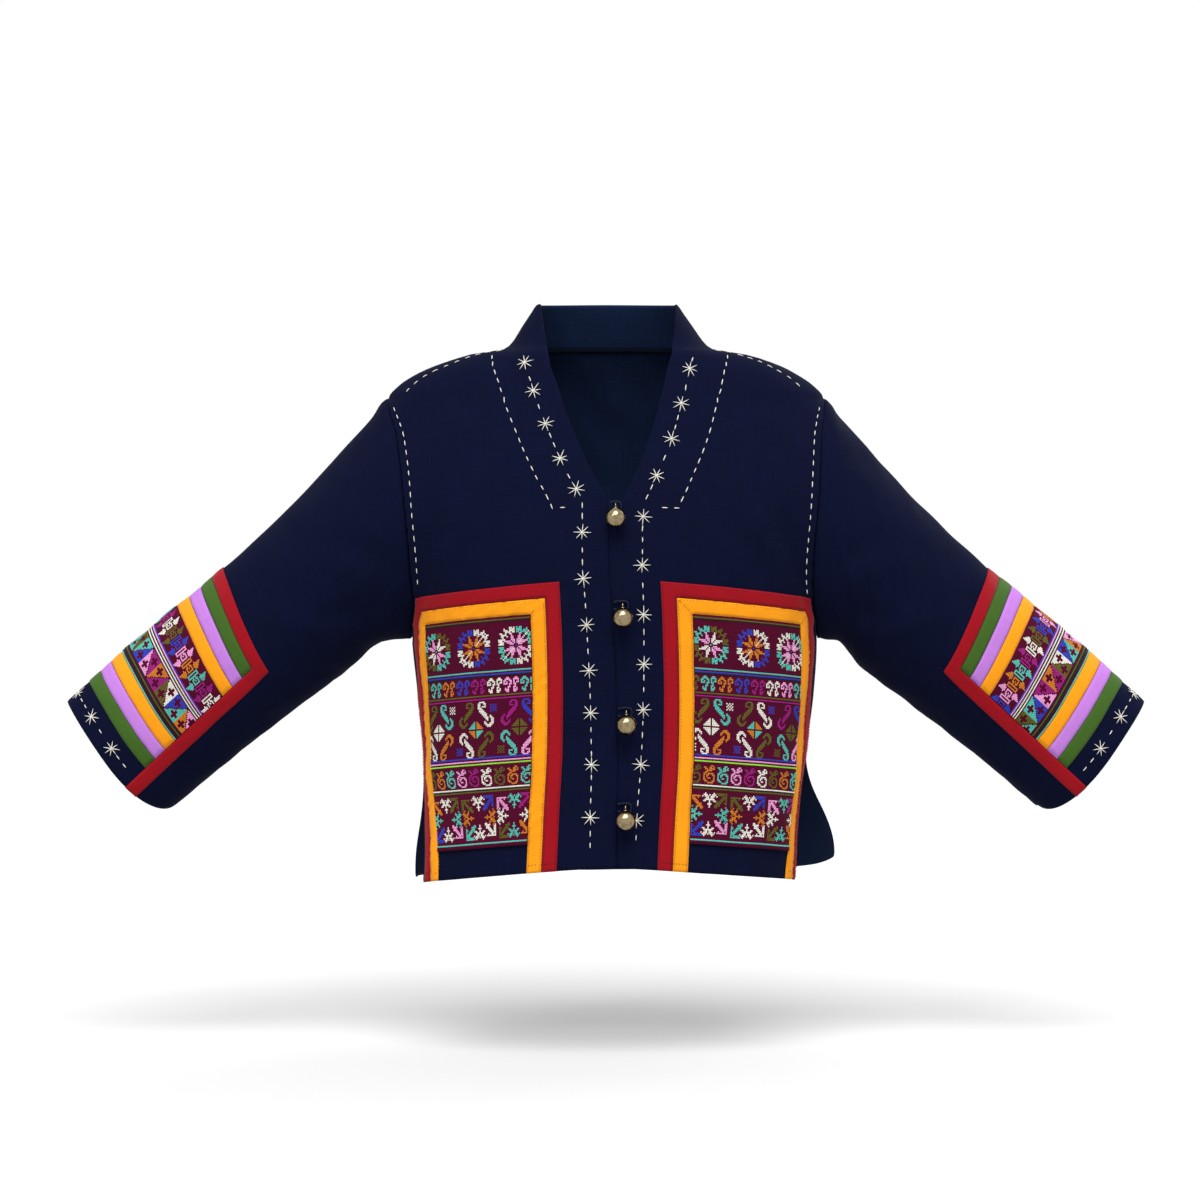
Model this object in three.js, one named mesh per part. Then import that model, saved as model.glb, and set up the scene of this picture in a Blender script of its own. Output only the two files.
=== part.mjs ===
// A short hmong jacket, filled out as it is worn and held at the shoulders.
// Millimetres, +Z up. X runs to the wearer's left, -Y is the front.
// The origin lies between the two points where the shoulder seams meet the neck.
//
// Every cloth piece is a grid of points on one garment surface, thickened into a wall:
// the body is a stack of rounded sections, and each sleeve a row of rings that starts on
// the armhole. Strips and embroidered panels are cells of the same grids, moved out.
import * as THREE from "three";

// ---------- Driving sizes ----------
const CLOTH = 1.6; // wall of the navy cloth
const TRIM = 1.0; // wall of a strip or an embroidered panel
const GAP = 0.3; // between neighbours, and under what is laid on
const STRIP = 15; // width of every appliqué strip
const ROUNDNESS = 2.2; // exponent of the body's sections: 2 is an ellipse

const NECK_POINT = 2; // height where shoulder seam, neck seam and stand meet
const SHOULDER_TIP = -46;
const ARMPIT = -286;
const VENT_TOP = -391; // the side seam is open below this
const SIDE_DROP = 20; // the fronts hang this much lower at the side than at the centre
const CENTRE_HEM = -507;
const PANEL_TOP = -227; // upper edge of the red border on the front, at the centre side
const PANEL_FOOT = -479; // lower edge of the embroidered panel
const PANEL_START = { right: 51, left: 46 }; // red border's edge, from the centre front
const PANEL_WIDTH = 180; // over the red borders
const OVERLAP_LIFT = 2.3; // the right front rides over the left one
const STAND_RISE = 5; // the stand and neck seam are this much higher at the back

// Body sections from the stand's top down to the hem. side is the half width at the side
// seam, armhole or shoulder seam, and lean the centre's offset towards the wearer's left.
const BODY = [
  { z: 55, side: 67, front: 40, back: 48, lean: 1 },
  { z: 47, side: 71, front: 42, back: 50, lean: 1 },
  { z: 24, side: 86, front: 51, back: 58, lean: 1.5 },
  { z: 7, side: 98, front: 58, back: 64, lean: 2 },
  { z: 2, side: 105, front: 60, back: 66, lean: 2 },
  { z: -4, side: 140, front: 64, back: 69, lean: 2.5 },
  { z: -11, side: 164, front: 67, back: 73, lean: 2 },
  { z: -22, side: 189, front: 71, back: 79, lean: 0.5 },
  { z: -34, side: 207, front: 75, back: 84, lean: 0 },
  { z: -46, side: 217, front: 79, back: 88, lean: 0 },
  { z: -88, side: 209, front: 92, back: 99, lean: 3 },
  { z: -150, side: 203, front: 106, back: 106, lean: 5 },
  { z: -210, side: 198, front: 112, back: 106, lean: 5 },
  { z: -248, side: 197, front: 111, back: 104, lean: 7 },
  { z: -286, side: 202, front: 109, back: 102, lean: 8.5 },
  { z: -340, side: 198, front: 106, back: 100, lean: 9.5 },
  { z: -391, side: 192, front: 104, back: 100, lean: 9 },
  { z: -460, side: 186, front: 104, back: 103, lean: 5.5 },
  { z: -540, side: 184, front: 106, back: 108, lean: 2 },
];

// How far the edge of each front stays from the centre line: the V, and then the overlap,
// where the left front runs on under the right one.
const FRONT_EDGE = [
  { z: 47, right: 67, left: 69 },
  { z: 24, right: 64, left: 67 },
  { z: -10, right: 58, left: 61 },
  { z: -39, right: 47, left: 56 },
  { z: -68, right: 39, left: 47 },
  { z: -100, right: 28, left: 35 },
  { z: -128, right: 16, left: 22 },
  { z: -156, right: 3, left: 8 },
  { z: -186, right: 3, left: -14 },
  { z: -265, right: 2, left: -14 },
  { z: -340, right: 0, left: -14 },
  { z: -507, right: -6, left: -16 },
];

// Sleeve sections by the distance along its upper fold: where the upper fold and the
// underarm lie, out from the centre and up, the half depth, and how far back the middle is.
const SLEEVE = [
  { along: 0, foldOut: 217, foldUp: -46, underOut: 202, underUp: -286, depth: 74, back: 2 },
  { along: 62, foldOut: 259, foldUp: -93, underOut: 227, underUp: -289, depth: 72, back: 5 },
  { along: 146, foldOut: 316, foldUp: -153, underOut: 256, underUp: -315, depth: 65, back: 12 },
  { along: 232, foldOut: 379, foldUp: -211, underOut: 296, underUp: -345, depth: 58, back: 22 },
  { along: 342, foldOut: 465, foldUp: -281, underOut: 366, underUp: -398, depth: 52, back: 34 },
  { along: 448, foldOut: 546, foldUp: -350, underOut: 438, underUp: -457, depth: 48, back: 44 },
];
const SLEEVE_LENGTH = 448;
const FRONT_LEAD = 15; // the cuff's front reaches this much further out than its fold
const SLEEVE_PANEL = 130; // strips reach this far down from the fold, front and back
const CUFF_BAND = 31; // plain cloth below the strips
const SLEEVE_BROCADE = 73; // embroidered band's width

const BALL = 10; // button radius
// The buttons down the centre: height, and offset from the centre line.
const BUTTONS = [
  { z: -169, x: 4 },
  { z: -265, x: 8 },
  { z: -368, x: 10 },
  { z: -460, x: 13 },
];

const COLOURS = {
  navy: { color: 0x13183a, roughness: 0.9, metalness: 0 },
  red: { color: 0x9f0c22, roughness: 0.85, metalness: 0 },
  yellow: { color: 0xf4a61f, roughness: 0.85, metalness: 0 },
  green: { color: 0x4b7029, roughness: 0.85, metalness: 0 },
  lilac: { color: 0xc07fcf, roughness: 0.85, metalness: 0 },
  maroon: { color: 0x5a0f33, roughness: 0.9, metalness: 0 },
  metal: { color: 0xc9b88c, roughness: 0.2, metalness: 1 },
  cord: { color: 0x0c0f22, roughness: 0.8, metalness: 0 },
};

// ---------- Curves through tables ----------
const clamp = (t) => Math.min(1, Math.max(0, t));
const smooth = (t) => clamp(t) ** 2 * (3 - 2 * clamp(t));
const mix = (a, b, t) => a + (b - a) * t;

// A smooth curve through a table's rows that never overshoots between two of them.
function through(table, at, value) {
  const rows = [...table].sort((a, b) => a[at] - b[at]);
  const x = rows.map((r) => r[at]);
  const y = rows.map((r) => r[value]);
  const slope = x.slice(1).map((_, i) => (y[i + 1] - y[i]) / (x[i + 1] - x[i]));
  const tangent = x.map((_, i) => {
    if (i === 0) return slope[0];
    if (i === x.length - 1) return slope[i - 1];
    const [a, b] = [slope[i - 1], slope[i]];
    return a * b <= 0 ? 0 : (2 * a * b) / (a + b);
  });
  return (t) => {
    if (t <= x[0]) return y[0];
    if (t >= x[x.length - 1]) return y[y.length - 1];
    const i = x.findIndex((v) => v > t) - 1;
    const step = x[i + 1] - x[i];
    const s = (t - x[i]) / step;
    return (
      y[i] * (1 + 2 * s) * (1 - s) ** 2 +
      tangent[i] * step * s * (1 - s) ** 2 +
      y[i + 1] * s * s * (3 - 2 * s) +
      tangent[i + 1] * step * s * s * (s - 1)
    );
  };
}

// ---------- The body's surface ----------
const sideAt = through(BODY, "z", "side");
const leanAt = through(BODY, "z", "lean");
const depthAt = { front: through(BODY, "z", "front"), back: through(BODY, "z", "back") };
const edgeAt = {
  right: through(FRONT_EDGE, "z", "right"),
  left: through(FRONT_EDGE, "z", "left"),
};
const ARMHOLE_DEPTH = { front: 70, back: 76 };
// At an open side vent the back swings out and up, and the front's edge turns forward.
const VENT = {
  right: { flare: 9, lift: 2, forward: 38 },
  left: { flare: 42, lift: 24, forward: 10 },
};
const ventShare = (z) => smooth((VENT_TOP - z) / (VENT_TOP - CENTRE_HEM + SIDE_DROP));

// How far in front of or behind the side line the armhole runs at a height.
function armholeDepth(face, z) {
  if (z >= SHOULDER_TIP || z <= ARMPIT) return 0;
  const middle = (SHOULDER_TIP + ARMPIT) / 2;
  const h = (z - middle) / (SHOULDER_TIP - middle);
  return ARMHOLE_DEPTH[face] * (1 - h * h) ** (h > 0 ? 0.6 : 0.85);
}

// Half a section at a height: one side, front or back, with its length along the cloth.
const STEPS = 60;
function halfSection(face, side, z) {
  const depth = depthAt[face](z);
  const vent = ventShare(z);
  const end = armholeDepth(face, z) + (face === "front" ? VENT[side].forward * vent : 0);
  const flare = face === "back" ? VENT[side].flare * vent : 0;
  const reach = (sideAt(z) + flare) / (1 - (end / depth) ** ROUNDNESS) ** (1 / ROUNDNESS);
  const last = Math.acos((end / depth) ** (ROUNDNESS / 2));
  const power = 2 / ROUNDNESS;
  const x = [];
  const y = [];
  const length = [0];
  for (let i = 0; i <= STEPS; i++) {
    const a = (last * i) / STEPS;
    x.push(reach * Math.sin(a) ** power);
    y.push(depth * Math.max(0, Math.cos(a)) ** power);
    if (i) length.push(length[i - 1] + Math.hypot(x[i] - x[i - 1], y[i] - y[i - 1]));
  }
  return { x, y, length, total: length[STEPS] };
}

// Value of one list where another, rising list passes t.
function lookUp(from, to, t) {
  const i = Math.min(from.length - 2, Math.max(0, from.findIndex((v) => v > t) - 1));
  const last = t >= from[from.length - 1] ? from.length - 2 : i;
  return mix(to[last], to[last + 1], (t - from[last]) / (from[last + 1] - from[last]));
}

const sign = { right: -1, left: 1 };

// The point at a distance along the cloth from the centre, at a height.
function bodyPoint(face, side, distance, z) {
  const half = halfSection(face, side, z);
  const along = Math.min(Math.abs(distance), half.total);
  const out = lookUp(half.length, half.x, along) * Math.sign(distance);
  const deep = lookUp(half.length, half.y, along);
  return new THREE.Vector3(
    leanAt(z) + sign[side] * out,
    face === "front" ? -deep : deep,
    z,
  );
}

// ---------- Grids ----------
// Rows of the fronts, by their height at the centre front.
const PANEL_ROWS = [-444, -408, -371, -336, -300, -266];
const FRONT_ROWS = [
  CENTRE_HEM,
  PANEL_FOOT,
  ...PANEL_ROWS,
  PANEL_TOP - 2 * STRIP,
  PANEL_TOP - STRIP,
  PANEL_TOP,
  -200,
  -178,
  -156,
  -128,
  -100,
  -75,
  -57,
  SHOULDER_TIP,
  -34,
  -22,
  -11,
  -4,
  NECK_POINT,
  24,
  47,
];
const NECK_ROW = FRONT_ROWS.indexOf(NECK_POINT);
const TIP_ROW = FRONT_ROWS.indexOf(SHOULDER_TIP);
const ARMPIT_ROW = FRONT_ROWS.indexOf(ARMPIT + SIDE_DROP);

// The side drop fades out from the red border's top to the chest.
const dropAt = (v) => SIDE_DROP * (1 - smooth((v - PANEL_TOP) / 110));
const sideHeight = (v) => v - dropAt(v);

// Columns of a front: its edge, a line halfway, the borders of the strips, and the side.
const PANEL_LINES = [
  0,
  STRIP,
  2 * STRIP,
  PANEL_WIDTH / 2 - 20,
  PANEL_WIDTH / 2 + 20,
  PANEL_WIDTH - 2 * STRIP,
  PANEL_WIDTH - STRIP,
  PANEL_WIDTH,
];
const SIDE_MARGIN = 5; // least cloth between the red border and the side

function panelColumns(side, v) {
  const section = halfSection("front", side, sideHeight(v));
  const edge = edgeAt[side](v);
  const start = edge < 0 ? edge : lookUp(section.x, section.length, edge);
  const room = section.total - SIDE_MARGIN - PANEL_START[side] - 2 * STRIP;
  const squeeze = Math.min(1, room / (PANEL_WIDTH - 2 * STRIP));
  const strips = PANEL_LINES.map(
    (u) => PANEL_START[side] + Math.min(u, 2 * STRIP) + Math.max(0, u - 2 * STRIP) * squeeze,
  );
  return [start, (start + strips[0]) / 2, ...strips, section.total];
}

// Above the panel the columns spread evenly between the edge and the side.
function frontColumns(side, v) {
  const here = panelColumns(side, v);
  const below = panelColumns(side, PANEL_TOP);
  const [start, total] = [here[0], here[here.length - 1]];
  const width = below[below.length - 1] - below[0];
  const even = below.map((u) => mix(start, total, (u - below[0]) / width));
  return here.map((u, i) => mix(u, even[i], smooth((v - PANEL_TOP) / 70)));
}

// The right front rides over the left one near the centre, up to the foot of the V.
function overlapLift(side, distance, v) {
  if (side === "left") return 0;
  return OVERLAP_LIFT * smooth((48 - distance) / 26) * (1 - smooth((v + 150) / 60));
}

function frontGrid(side) {
  return FRONT_ROWS.map((v) =>
    frontColumns(side, v).map((u, i, all) => {
      const total = all[all.length - 1];
      const share = Math.max(0, u) / total;
      const z = i === all.length - 1 ? sideHeight(v) : v - dropAt(v) * share ** 1.3;
      const here = i === all.length - 1 ? halfSection("front", side, z).total : u;
      const point = bodyPoint("front", side, here, z);
      point.y -= overlapLift(side, u, v);
      return point;
    }),
  );
}

const BACK_HALF = 8; // columns from the centre back to a side
const neckRise = (share) => STAND_RISE * (1 - share * share);

// A row round the back from the right side to the left, at a height above the side's.
function backRow(z, rise) {
  const row = [];
  for (let i = -BACK_HALF; i <= BACK_HALF; i++) {
    const side = i < 0 ? "right" : "left";
    const share = Math.abs(i) / BACK_HALF;
    const height = z + rise * neckRise(share);
    const distance = halfSection("back", side, height).total * share;
    const point = bodyPoint("back", side, distance, height);
    point.z += VENT[side].lift * ventShare(height) * share ** 4;
    row.push(point);
  }
  return row;
}

const backGrid = FRONT_ROWS.slice(0, NECK_ROW + 1).map((v) =>
  backRow(sideHeight(v), smooth((v - SHOULDER_TIP) / (NECK_POINT - SHOULDER_TIP))),
);
const standGrid = FRONT_ROWS.slice(NECK_ROW).map((v) => backRow(v, 1));

// ---------- Sleeves ----------
const sleeveAt = Object.fromEntries(
  ["foldOut", "foldUp", "underOut", "underUp", "depth", "back"].map((key) => [
    key,
    through(SLEEVE, "along", key),
  ]),
);

// Half a ring round the sleeve, from the fold down to the underarm, front or back.
function halfRing(face, side, along) {
  const s = Object.fromEntries(Object.entries(sleeveAt).map(([k, f]) => [k, f(along)]));
  const lean = leanAt(ARMPIT) * sign[side] * (1 - smooth(along / 150));
  const fold = new THREE.Vector3(s.foldOut, s.back, s.foldUp);
  const under = new THREE.Vector3(s.underOut + lean, s.back, s.underUp);
  const middle = fold.clone().add(under).multiplyScalar(0.5);
  const down = under.clone().sub(fold).multiplyScalar(0.5);
  const outward = new THREE.Vector3(-down.z, 0, down.x).normalize();
  const lead = FRONT_LEAD * smooth(along / 300);
  const facing = face === "front" ? -1 : 1;
  const points = [];
  const length = [0];
  for (let i = 0; i <= STEPS; i++) {
    const a = (Math.PI * i) / STEPS;
    const bulge = Math.sin(a) * (1 - Math.cos(a)) / 1.3;
    const point = middle
      .clone()
      .addScaledVector(down, -Math.cos(a))
      .addScaledVector(outward, -facing * lead * bulge)
      .add(new THREE.Vector3(0, facing * s.depth * Math.sin(a), 0));
    points.push(point);
    if (i) length.push(length[i - 1] + point.distanceTo(points[i - 1]));
  }
  return { points, length, total: length[STEPS] };
}

function ringPoint(face, side, along, share) {
  const ring = halfRing(face, side, along);
  const at = share * ring.total;
  const axis = (k) => lookUp(ring.length, ring.points.map((p) => p[k]), at);
  return new THREE.Vector3(axis("x") * sign[side], axis("y"), axis("z"));
}

// Where the body's rows meet the armhole, from the shoulder tip down to the armpit.
const ARMHOLE_ROWS = FRONT_ROWS.slice(ARMPIT_ROW, TIP_ROW + 1).reverse();
const RING_HALF = ARMHOLE_ROWS.length - 1;

function armholePoints(face, side) {
  return ARMHOLE_ROWS.map((v) => {
    const z = sideHeight(v);
    return bodyPoint(face, side, halfSection(face, side, z).total, z);
  });
}

// Rings along the sleeve: plain cloth, the red border, the strips, and the cuff.
const panelEdges = [CUFF_BAND];
for (const width of [STRIP, STRIP, STRIP, SLEEVE_BROCADE / 2, SLEEVE_BROCADE / 2]) {
  panelEdges.push(panelEdges[panelEdges.length - 1] + width);
}
for (let i = 0; i < 4; i++) panelEdges.push(panelEdges[panelEdges.length - 1] + STRIP);
const RINGS = [0, 30, 62, 104, 146, 190, ...panelEdges.map((d) => SLEEVE_LENGTH - d).reverse()];
RINGS.push(SLEEVE_LENGTH);
const PANEL_RING = RINGS.length - 1 - panelEdges.length;
const PANEL_COLUMNS = 4; // columns of strip cells each side of the fold, then the border

// Each column's share of the half ring: by the armhole's rows at first, and further out by
// distances from the fold, so that the strips keep their width.
function ringShares(face, side, along, start) {
  const total = halfRing(face, side, along).total;
  const fixed = [];
  for (let i = 0; i <= PANEL_COLUMNS; i++) fixed.push((SLEEVE_PANEL * i) / PANEL_COLUMNS);
  fixed.push(SLEEVE_PANEL + STRIP);
  const left = RING_HALF - PANEL_COLUMNS - 1;
  for (let i = 1; i <= left; i++) fixed.push(mix(SLEEVE_PANEL + STRIP, total, i / left));
  const settled = smooth(along / RINGS[PANEL_RING]);
  return fixed.map((d, i) => mix(start[i], d / total, settled));
}

// The grid runs from the fold down the front, under the arm and up the back.
function sleeveGrid(side) {
  const shares = {};
  const offsets = {};
  for (const face of ["front", "back"]) {
    const seam = armholePoints(face, side);
    const walked = [0];
    for (let i = 1; i < seam.length; i++) {
      walked.push(walked[i - 1] + seam[i].distanceTo(seam[i - 1]));
    }
    shares[face] = walked.map((d) => d / walked[walked.length - 1]);
    offsets[face] = seam.map((p, i) => p.clone().sub(ringPoint(face, side, 0, shares[face][i])));
  }
  return RINGS.map((along) => {
    if (along === 0) {
      return [
        ...armholePoints("front", side),
        ...armholePoints("back", side).reverse().slice(1, -1),
      ];
    }
    const fade = clamp(1 - along / 90) ** 2;
    const half = (face) =>
      ringShares(face, side, along, shares[face]).map((share, i) =>
        ringPoint(face, side, along, share).addScaledVector(offsets[face][i], fade),
      );
    return [...half("front"), ...half("back").reverse().slice(1, -1)];
  });
}

// ---------- Walls ----------
const key = (p) => [p.x, p.y, p.z].map((v) => Math.round(v * 50)).join();

// A grid with the cells that a piece covers. closed grids wrap round from last to first.
function piece(points, { closed = false, flip = false } = {}) {
  return { points, closed, flip, columns: points[0].length, rows: points.length };
}

function corners(grid, i, j) {
  const next = (j + 1) % grid.columns;
  const loop = [[i, j], [i, next], [i + 1, next], [i + 1, j]];
  return grid.flip ? loop.reverse() : loop;
}

const cellColumns = (grid) => (grid.closed ? grid.columns : grid.columns - 1);

// Outward normals. Pieces that meet at a seam share the bisector, so their walls mitre.
function sharedNormals(grids) {
  const shared = new Map();
  for (const grid of grids) {
    const own = new Map();
    for (let i = 0; i < grid.rows - 1; i++) {
      for (let j = 0; j < cellColumns(grid); j++) {
        const [a, b, c, d] = corners(grid, i, j).map(([r, k]) => grid.points[r][k]);
        const normal = c.clone().sub(a).cross(d.clone().sub(b));
        for (const name of [a, b, c, d].map(key)) {
          own.set(name, (own.get(name) ?? new THREE.Vector3()).add(normal));
        }
      }
    }
    for (const [name, normal] of own) {
      shared.set(name, (shared.get(name) ?? new THREE.Vector3()).add(normal.normalize()));
    }
  }
  for (const grid of grids) {
    grid.normals = grid.points.map((row) => row.map((p) => shared.get(key(p)).clone().normalize()));
  }
}

// A closed wall over the covered cells, from one height above the grid to another. Its
// edges draw back by half the gap, so that neighbours stay apart.
function wall(grid, covers, low, high) {
  const has = (i, j) => {
    const column = grid.closed ? (j + grid.columns) % grid.columns : j;
    if (i < 0 || i >= grid.rows - 1 || column < 0 || column >= cellColumns(grid)) return false;
    return covers(i, column);
  };
  const corner = (i, j, height) => {
    const at = (r, k) => grid.points[r][(k + grid.columns) % grid.columns];
    const missing = [0, 0];
    for (const [di, dj] of [[-1, -1], [-1, 0], [0, -1], [0, 0]]) {
      if (!has(i + di, j + dj)) {
        missing[0] += di * 2 + 1;
        missing[1] += dj * 2 + 1;
      }
    }
    const point = at(i, j).clone();
    const [down, across] = missing.map((m) => -Math.sign(m));
    const toward = (di, dj) => at(i + di, j + dj).clone().sub(at(i, j)).normalize();
    const inGrid = (r) => r >= 0 && r < grid.rows;
    const alongRow = toward(0, grid.closed || j < grid.columns - 1 ? 1 : -1);
    const alongColumn = toward(inGrid(i + 1) ? 1 : -1, 0);
    const sine = Math.max(0.3, alongRow.clone().cross(alongColumn).length());
    if (down) point.addScaledVector(toward(down, 0), (GAP * 0.7) / sine);
    if (across) point.addScaledVector(toward(0, across), (GAP * 0.7) / sine);
    return point.addScaledVector(grid.normals[i][(j + grid.columns) % grid.columns], height);
  };
  const vertices = [];
  const index = new Map();
  const vertex = (i, j, height) => {
    const name = `${i},${(j + grid.columns) % grid.columns},${height}`;
    if (!index.has(name)) {
      index.set(name, vertices.length / 3);
      vertices.push(...corner(i, j, height).toArray());
    }
    return index.get(name);
  };
  const faces = [];
  const heightOf = (v) => vertices[3 * v + 2];
  // Both walls at a seam are split along the same diagonal, from the lower outer corner.
  const edgeFace = (outer, outerNext, inner, innerNext) => {
    if (heightOf(outer) < heightOf(outerNext)) {
      faces.push(outer, inner, innerNext, outer, innerNext, outerNext);
    } else {
      faces.push(outerNext, outer, inner, outerNext, inner, innerNext);
    }
  };
  for (let i = 0; i < grid.rows - 1; i++) {
    for (let j = 0; j < cellColumns(grid); j++) {
      if (!has(i, j)) continue;
      const loop = [[i, j], [i, j + 1], [i + 1, j + 1], [i + 1, j]];
      const beyond = [has(i - 1, j), has(i, j + 1), has(i + 1, j), has(i, j - 1)];
      const top = loop.map(([r, k]) => vertex(r, k, high));
      const bottom = loop.map(([r, k]) => vertex(r, k, low));
      const [t, b] = grid.flip ? [[...top].reverse(), bottom] : [top, [...bottom].reverse()];
      faces.push(t[0], t[1], t[2], t[0], t[2], t[3]);
      faces.push(b[0], b[1], b[3], b[1], b[2], b[3]);
      for (let e = 0; e < 4; e++) {
        const f = (e + 1) % 4;
        if (beyond[e]) continue;
        const [from, to] = grid.flip ? [f, e] : [e, f];
        edgeFace(top[from], top[to], bottom[from], bottom[to]);
      }
    }
  }
  const geometry = new THREE.BufferGeometry();
  geometry.setAttribute("position", new THREE.Float32BufferAttribute(vertices, 3));
  geometry.setIndex(faces);
  geometry.computeVertexNormals();
  return geometry;
}

// ---------- The jacket ----------
const jacket = new THREE.Group();

function add(name, geometry, colour) {
  const mesh = new THREE.Mesh(geometry, new THREE.MeshStandardMaterial(COLOURS[colour]));
  mesh.name = name;
  jacket.add(mesh);
  return mesh;
}

const fronts = {
  right: piece(frontGrid("right"), { flip: true }),
  left: piece(frontGrid("left")),
};
const sleeves = {
  right: piece(sleeveGrid("right"), { closed: true, flip: true }),
  left: piece(sleeveGrid("left"), { closed: true }),
};
const back = piece(backGrid, { flip: true });
const stand = piece(standGrid, { flip: true });
sharedNormals([fronts.right, fronts.left, sleeves.right, sleeves.left, back, stand]);

const everywhere = () => true;
const onCloth = [GAP, GAP + TRIM];

add("back", wall(back, everywhere, -CLOTH, 0), "navy");
add("collar_stand", wall(stand, everywhere, -CLOTH, 0), "navy");

// Red border, yellow strip and embroidered panel: nested frames, open at the hem.
const rowOf = (v) => FRONT_ROWS.indexOf(v);
const LINE = { redIn: 2, yellowIn: 3, panelIn: 4, panelOut: 7, yellowOut: 8, redOut: 9 };
const frame = (top, outer, inner, [left, right, innerLeft, innerRight]) => (i, j) =>
  i < rowOf(top) &&
  j >= left &&
  j < right &&
  !(i < rowOf(inner) && j >= innerLeft && j < innerRight) &&
  i >= rowOf(outer);

for (const side of ["right", "left"]) {
  const front = fronts[side];
  add(`front_${side}`, wall(front, everywhere, -CLOTH, 0), "navy");
  const red = [LINE.redIn, LINE.redOut, LINE.yellowIn, LINE.yellowOut];
  const yellow = [LINE.yellowIn, LINE.yellowOut, LINE.panelIn, LINE.panelOut];
  add(
    `front_border_${side}`,
    wall(front, frame(PANEL_TOP, CENTRE_HEM, PANEL_TOP - STRIP, red), ...onCloth),
    "red",
  );
  add(
    `front_strip_${side}`,
    wall(front, frame(PANEL_TOP - STRIP, CENTRE_HEM, PANEL_TOP - 2 * STRIP, yellow), ...onCloth),
    "yellow",
  );
  const brocade = (i, j) =>
    i >= rowOf(PANEL_FOOT) &&
    i < rowOf(PANEL_TOP - 2 * STRIP) &&
    j >= LINE.panelIn &&
    j < LINE.panelOut;
  add(`front_panel_${side}`, wall(front, brocade, ...onCloth), "maroon");
}

// Strips across the sleeve, inside a red border along three of their sides.
const SLEEVE_STRIPS = [
  { name: "green_upper", colour: "green", rings: 1 },
  { name: "lilac_upper", colour: "lilac", rings: 1 },
  { name: "yellow_upper", colour: "yellow", rings: 1 },
  { name: "panel", colour: "maroon", rings: 2 },
  { name: "yellow_lower", colour: "yellow", rings: 1 },
  { name: "lilac_lower", colour: "lilac", rings: 1 },
  { name: "green_lower", colour: "green", rings: 1 },
];

for (const side of ["right", "left"]) {
  const sleeve = sleeves[side];
  const around = sleeve.columns;
  const nearFold = (j, reach) => j < reach || j >= around - reach;
  add(`sleeve_${side}`, wall(sleeve, everywhere, -CLOTH, 0), "navy");
  const border = (i, j) =>
    i >= PANEL_RING &&
    nearFold(j, PANEL_COLUMNS + 1) &&
    (i === PANEL_RING || !nearFold(j, PANEL_COLUMNS));
  add(`sleeve_border_${side}`, wall(sleeve, border, ...onCloth), "red");
  let ring = PANEL_RING + 1;
  for (const { name, colour, rings } of SLEEVE_STRIPS) {
    const [from, to] = [ring, ring + rings];
    const covers = (i, j) => i >= from && i < to && nearFold(j, PANEL_COLUMNS);
    add(`sleeve_${name}_${side}`, wall(sleeve, covers, ...onCloth), colour);
    ring = to;
  }
}

// ---------- Buttons and their loops ----------
const SHANK = { ring: 2.6, wire: 0.7 };
const LOOP = { cord: 1.1, reach: 5.5, half: 4.4 };
const BALL_OUT = BALL + 4.2; // ball's centre above the left front

const section = new THREE.Shape();
section.absarc(0, 0, LOOP.cord, 0, 2 * Math.PI);

BUTTONS.forEach(({ z, x }, i) => {
  const place = new THREE.Group();
  place.position.set(leanAt(z) + x, -depthAt.front(z + BALL), z);
  jacket.add(place);
  const ball = add(`button_${i + 1}`, new THREE.SphereGeometry(BALL, 20, 14), "metal");
  ball.position.set(0, -BALL_OUT, 0);
  const shank = add(
    `button_shank_${i + 1}`,
    new THREE.TorusGeometry(SHANK.ring, SHANK.wire, 8, 16),
    "metal",
  );
  shank.position.set(0, -BALL_OUT + 7, BALL + 1.6);
  shank.rotation.y = Math.PI / 2;
  const edge = LOOP.cord + 2 * GAP - edgeAt.right(z + BALL) - x;
  const turn = LOOP.reach;
  const path = new THREE.CatmullRomCurve3(
    [
      [edge, LOOP.half - 1],
      [-1, LOOP.half],
      [turn * 0.75, LOOP.half * 0.8],
      [turn, 0],
      [turn * 0.75, -LOOP.half * 0.8],
      [-1, -LOOP.half],
      [edge, -LOOP.half + 1],
    ].map(([across, up]) => new THREE.Vector3(across, 0, up)),
  );
  const loop = add(
    `button_loop_${i + 1}`,
    new THREE.ExtrudeGeometry(section, { steps: 18, extrudePath: path, curveSegments: 4 }),
    "cord",
  );
  loop.position.set(0, -LOOP.cord - 3 * GAP, BALL + 1.6);
  place.add(ball, shank, loop);
});

export default jacket;
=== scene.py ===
"""A hmong embroidered jacket, filled out as worn, on its CAD frame.

The garment surface is worked out from the same named sizes as the CAD part, on a finer
grid, with folds added. Lengths are in millimetres until a mesh is made.
"""

import math
from collections import namedtuple
from functools import lru_cache

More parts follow.
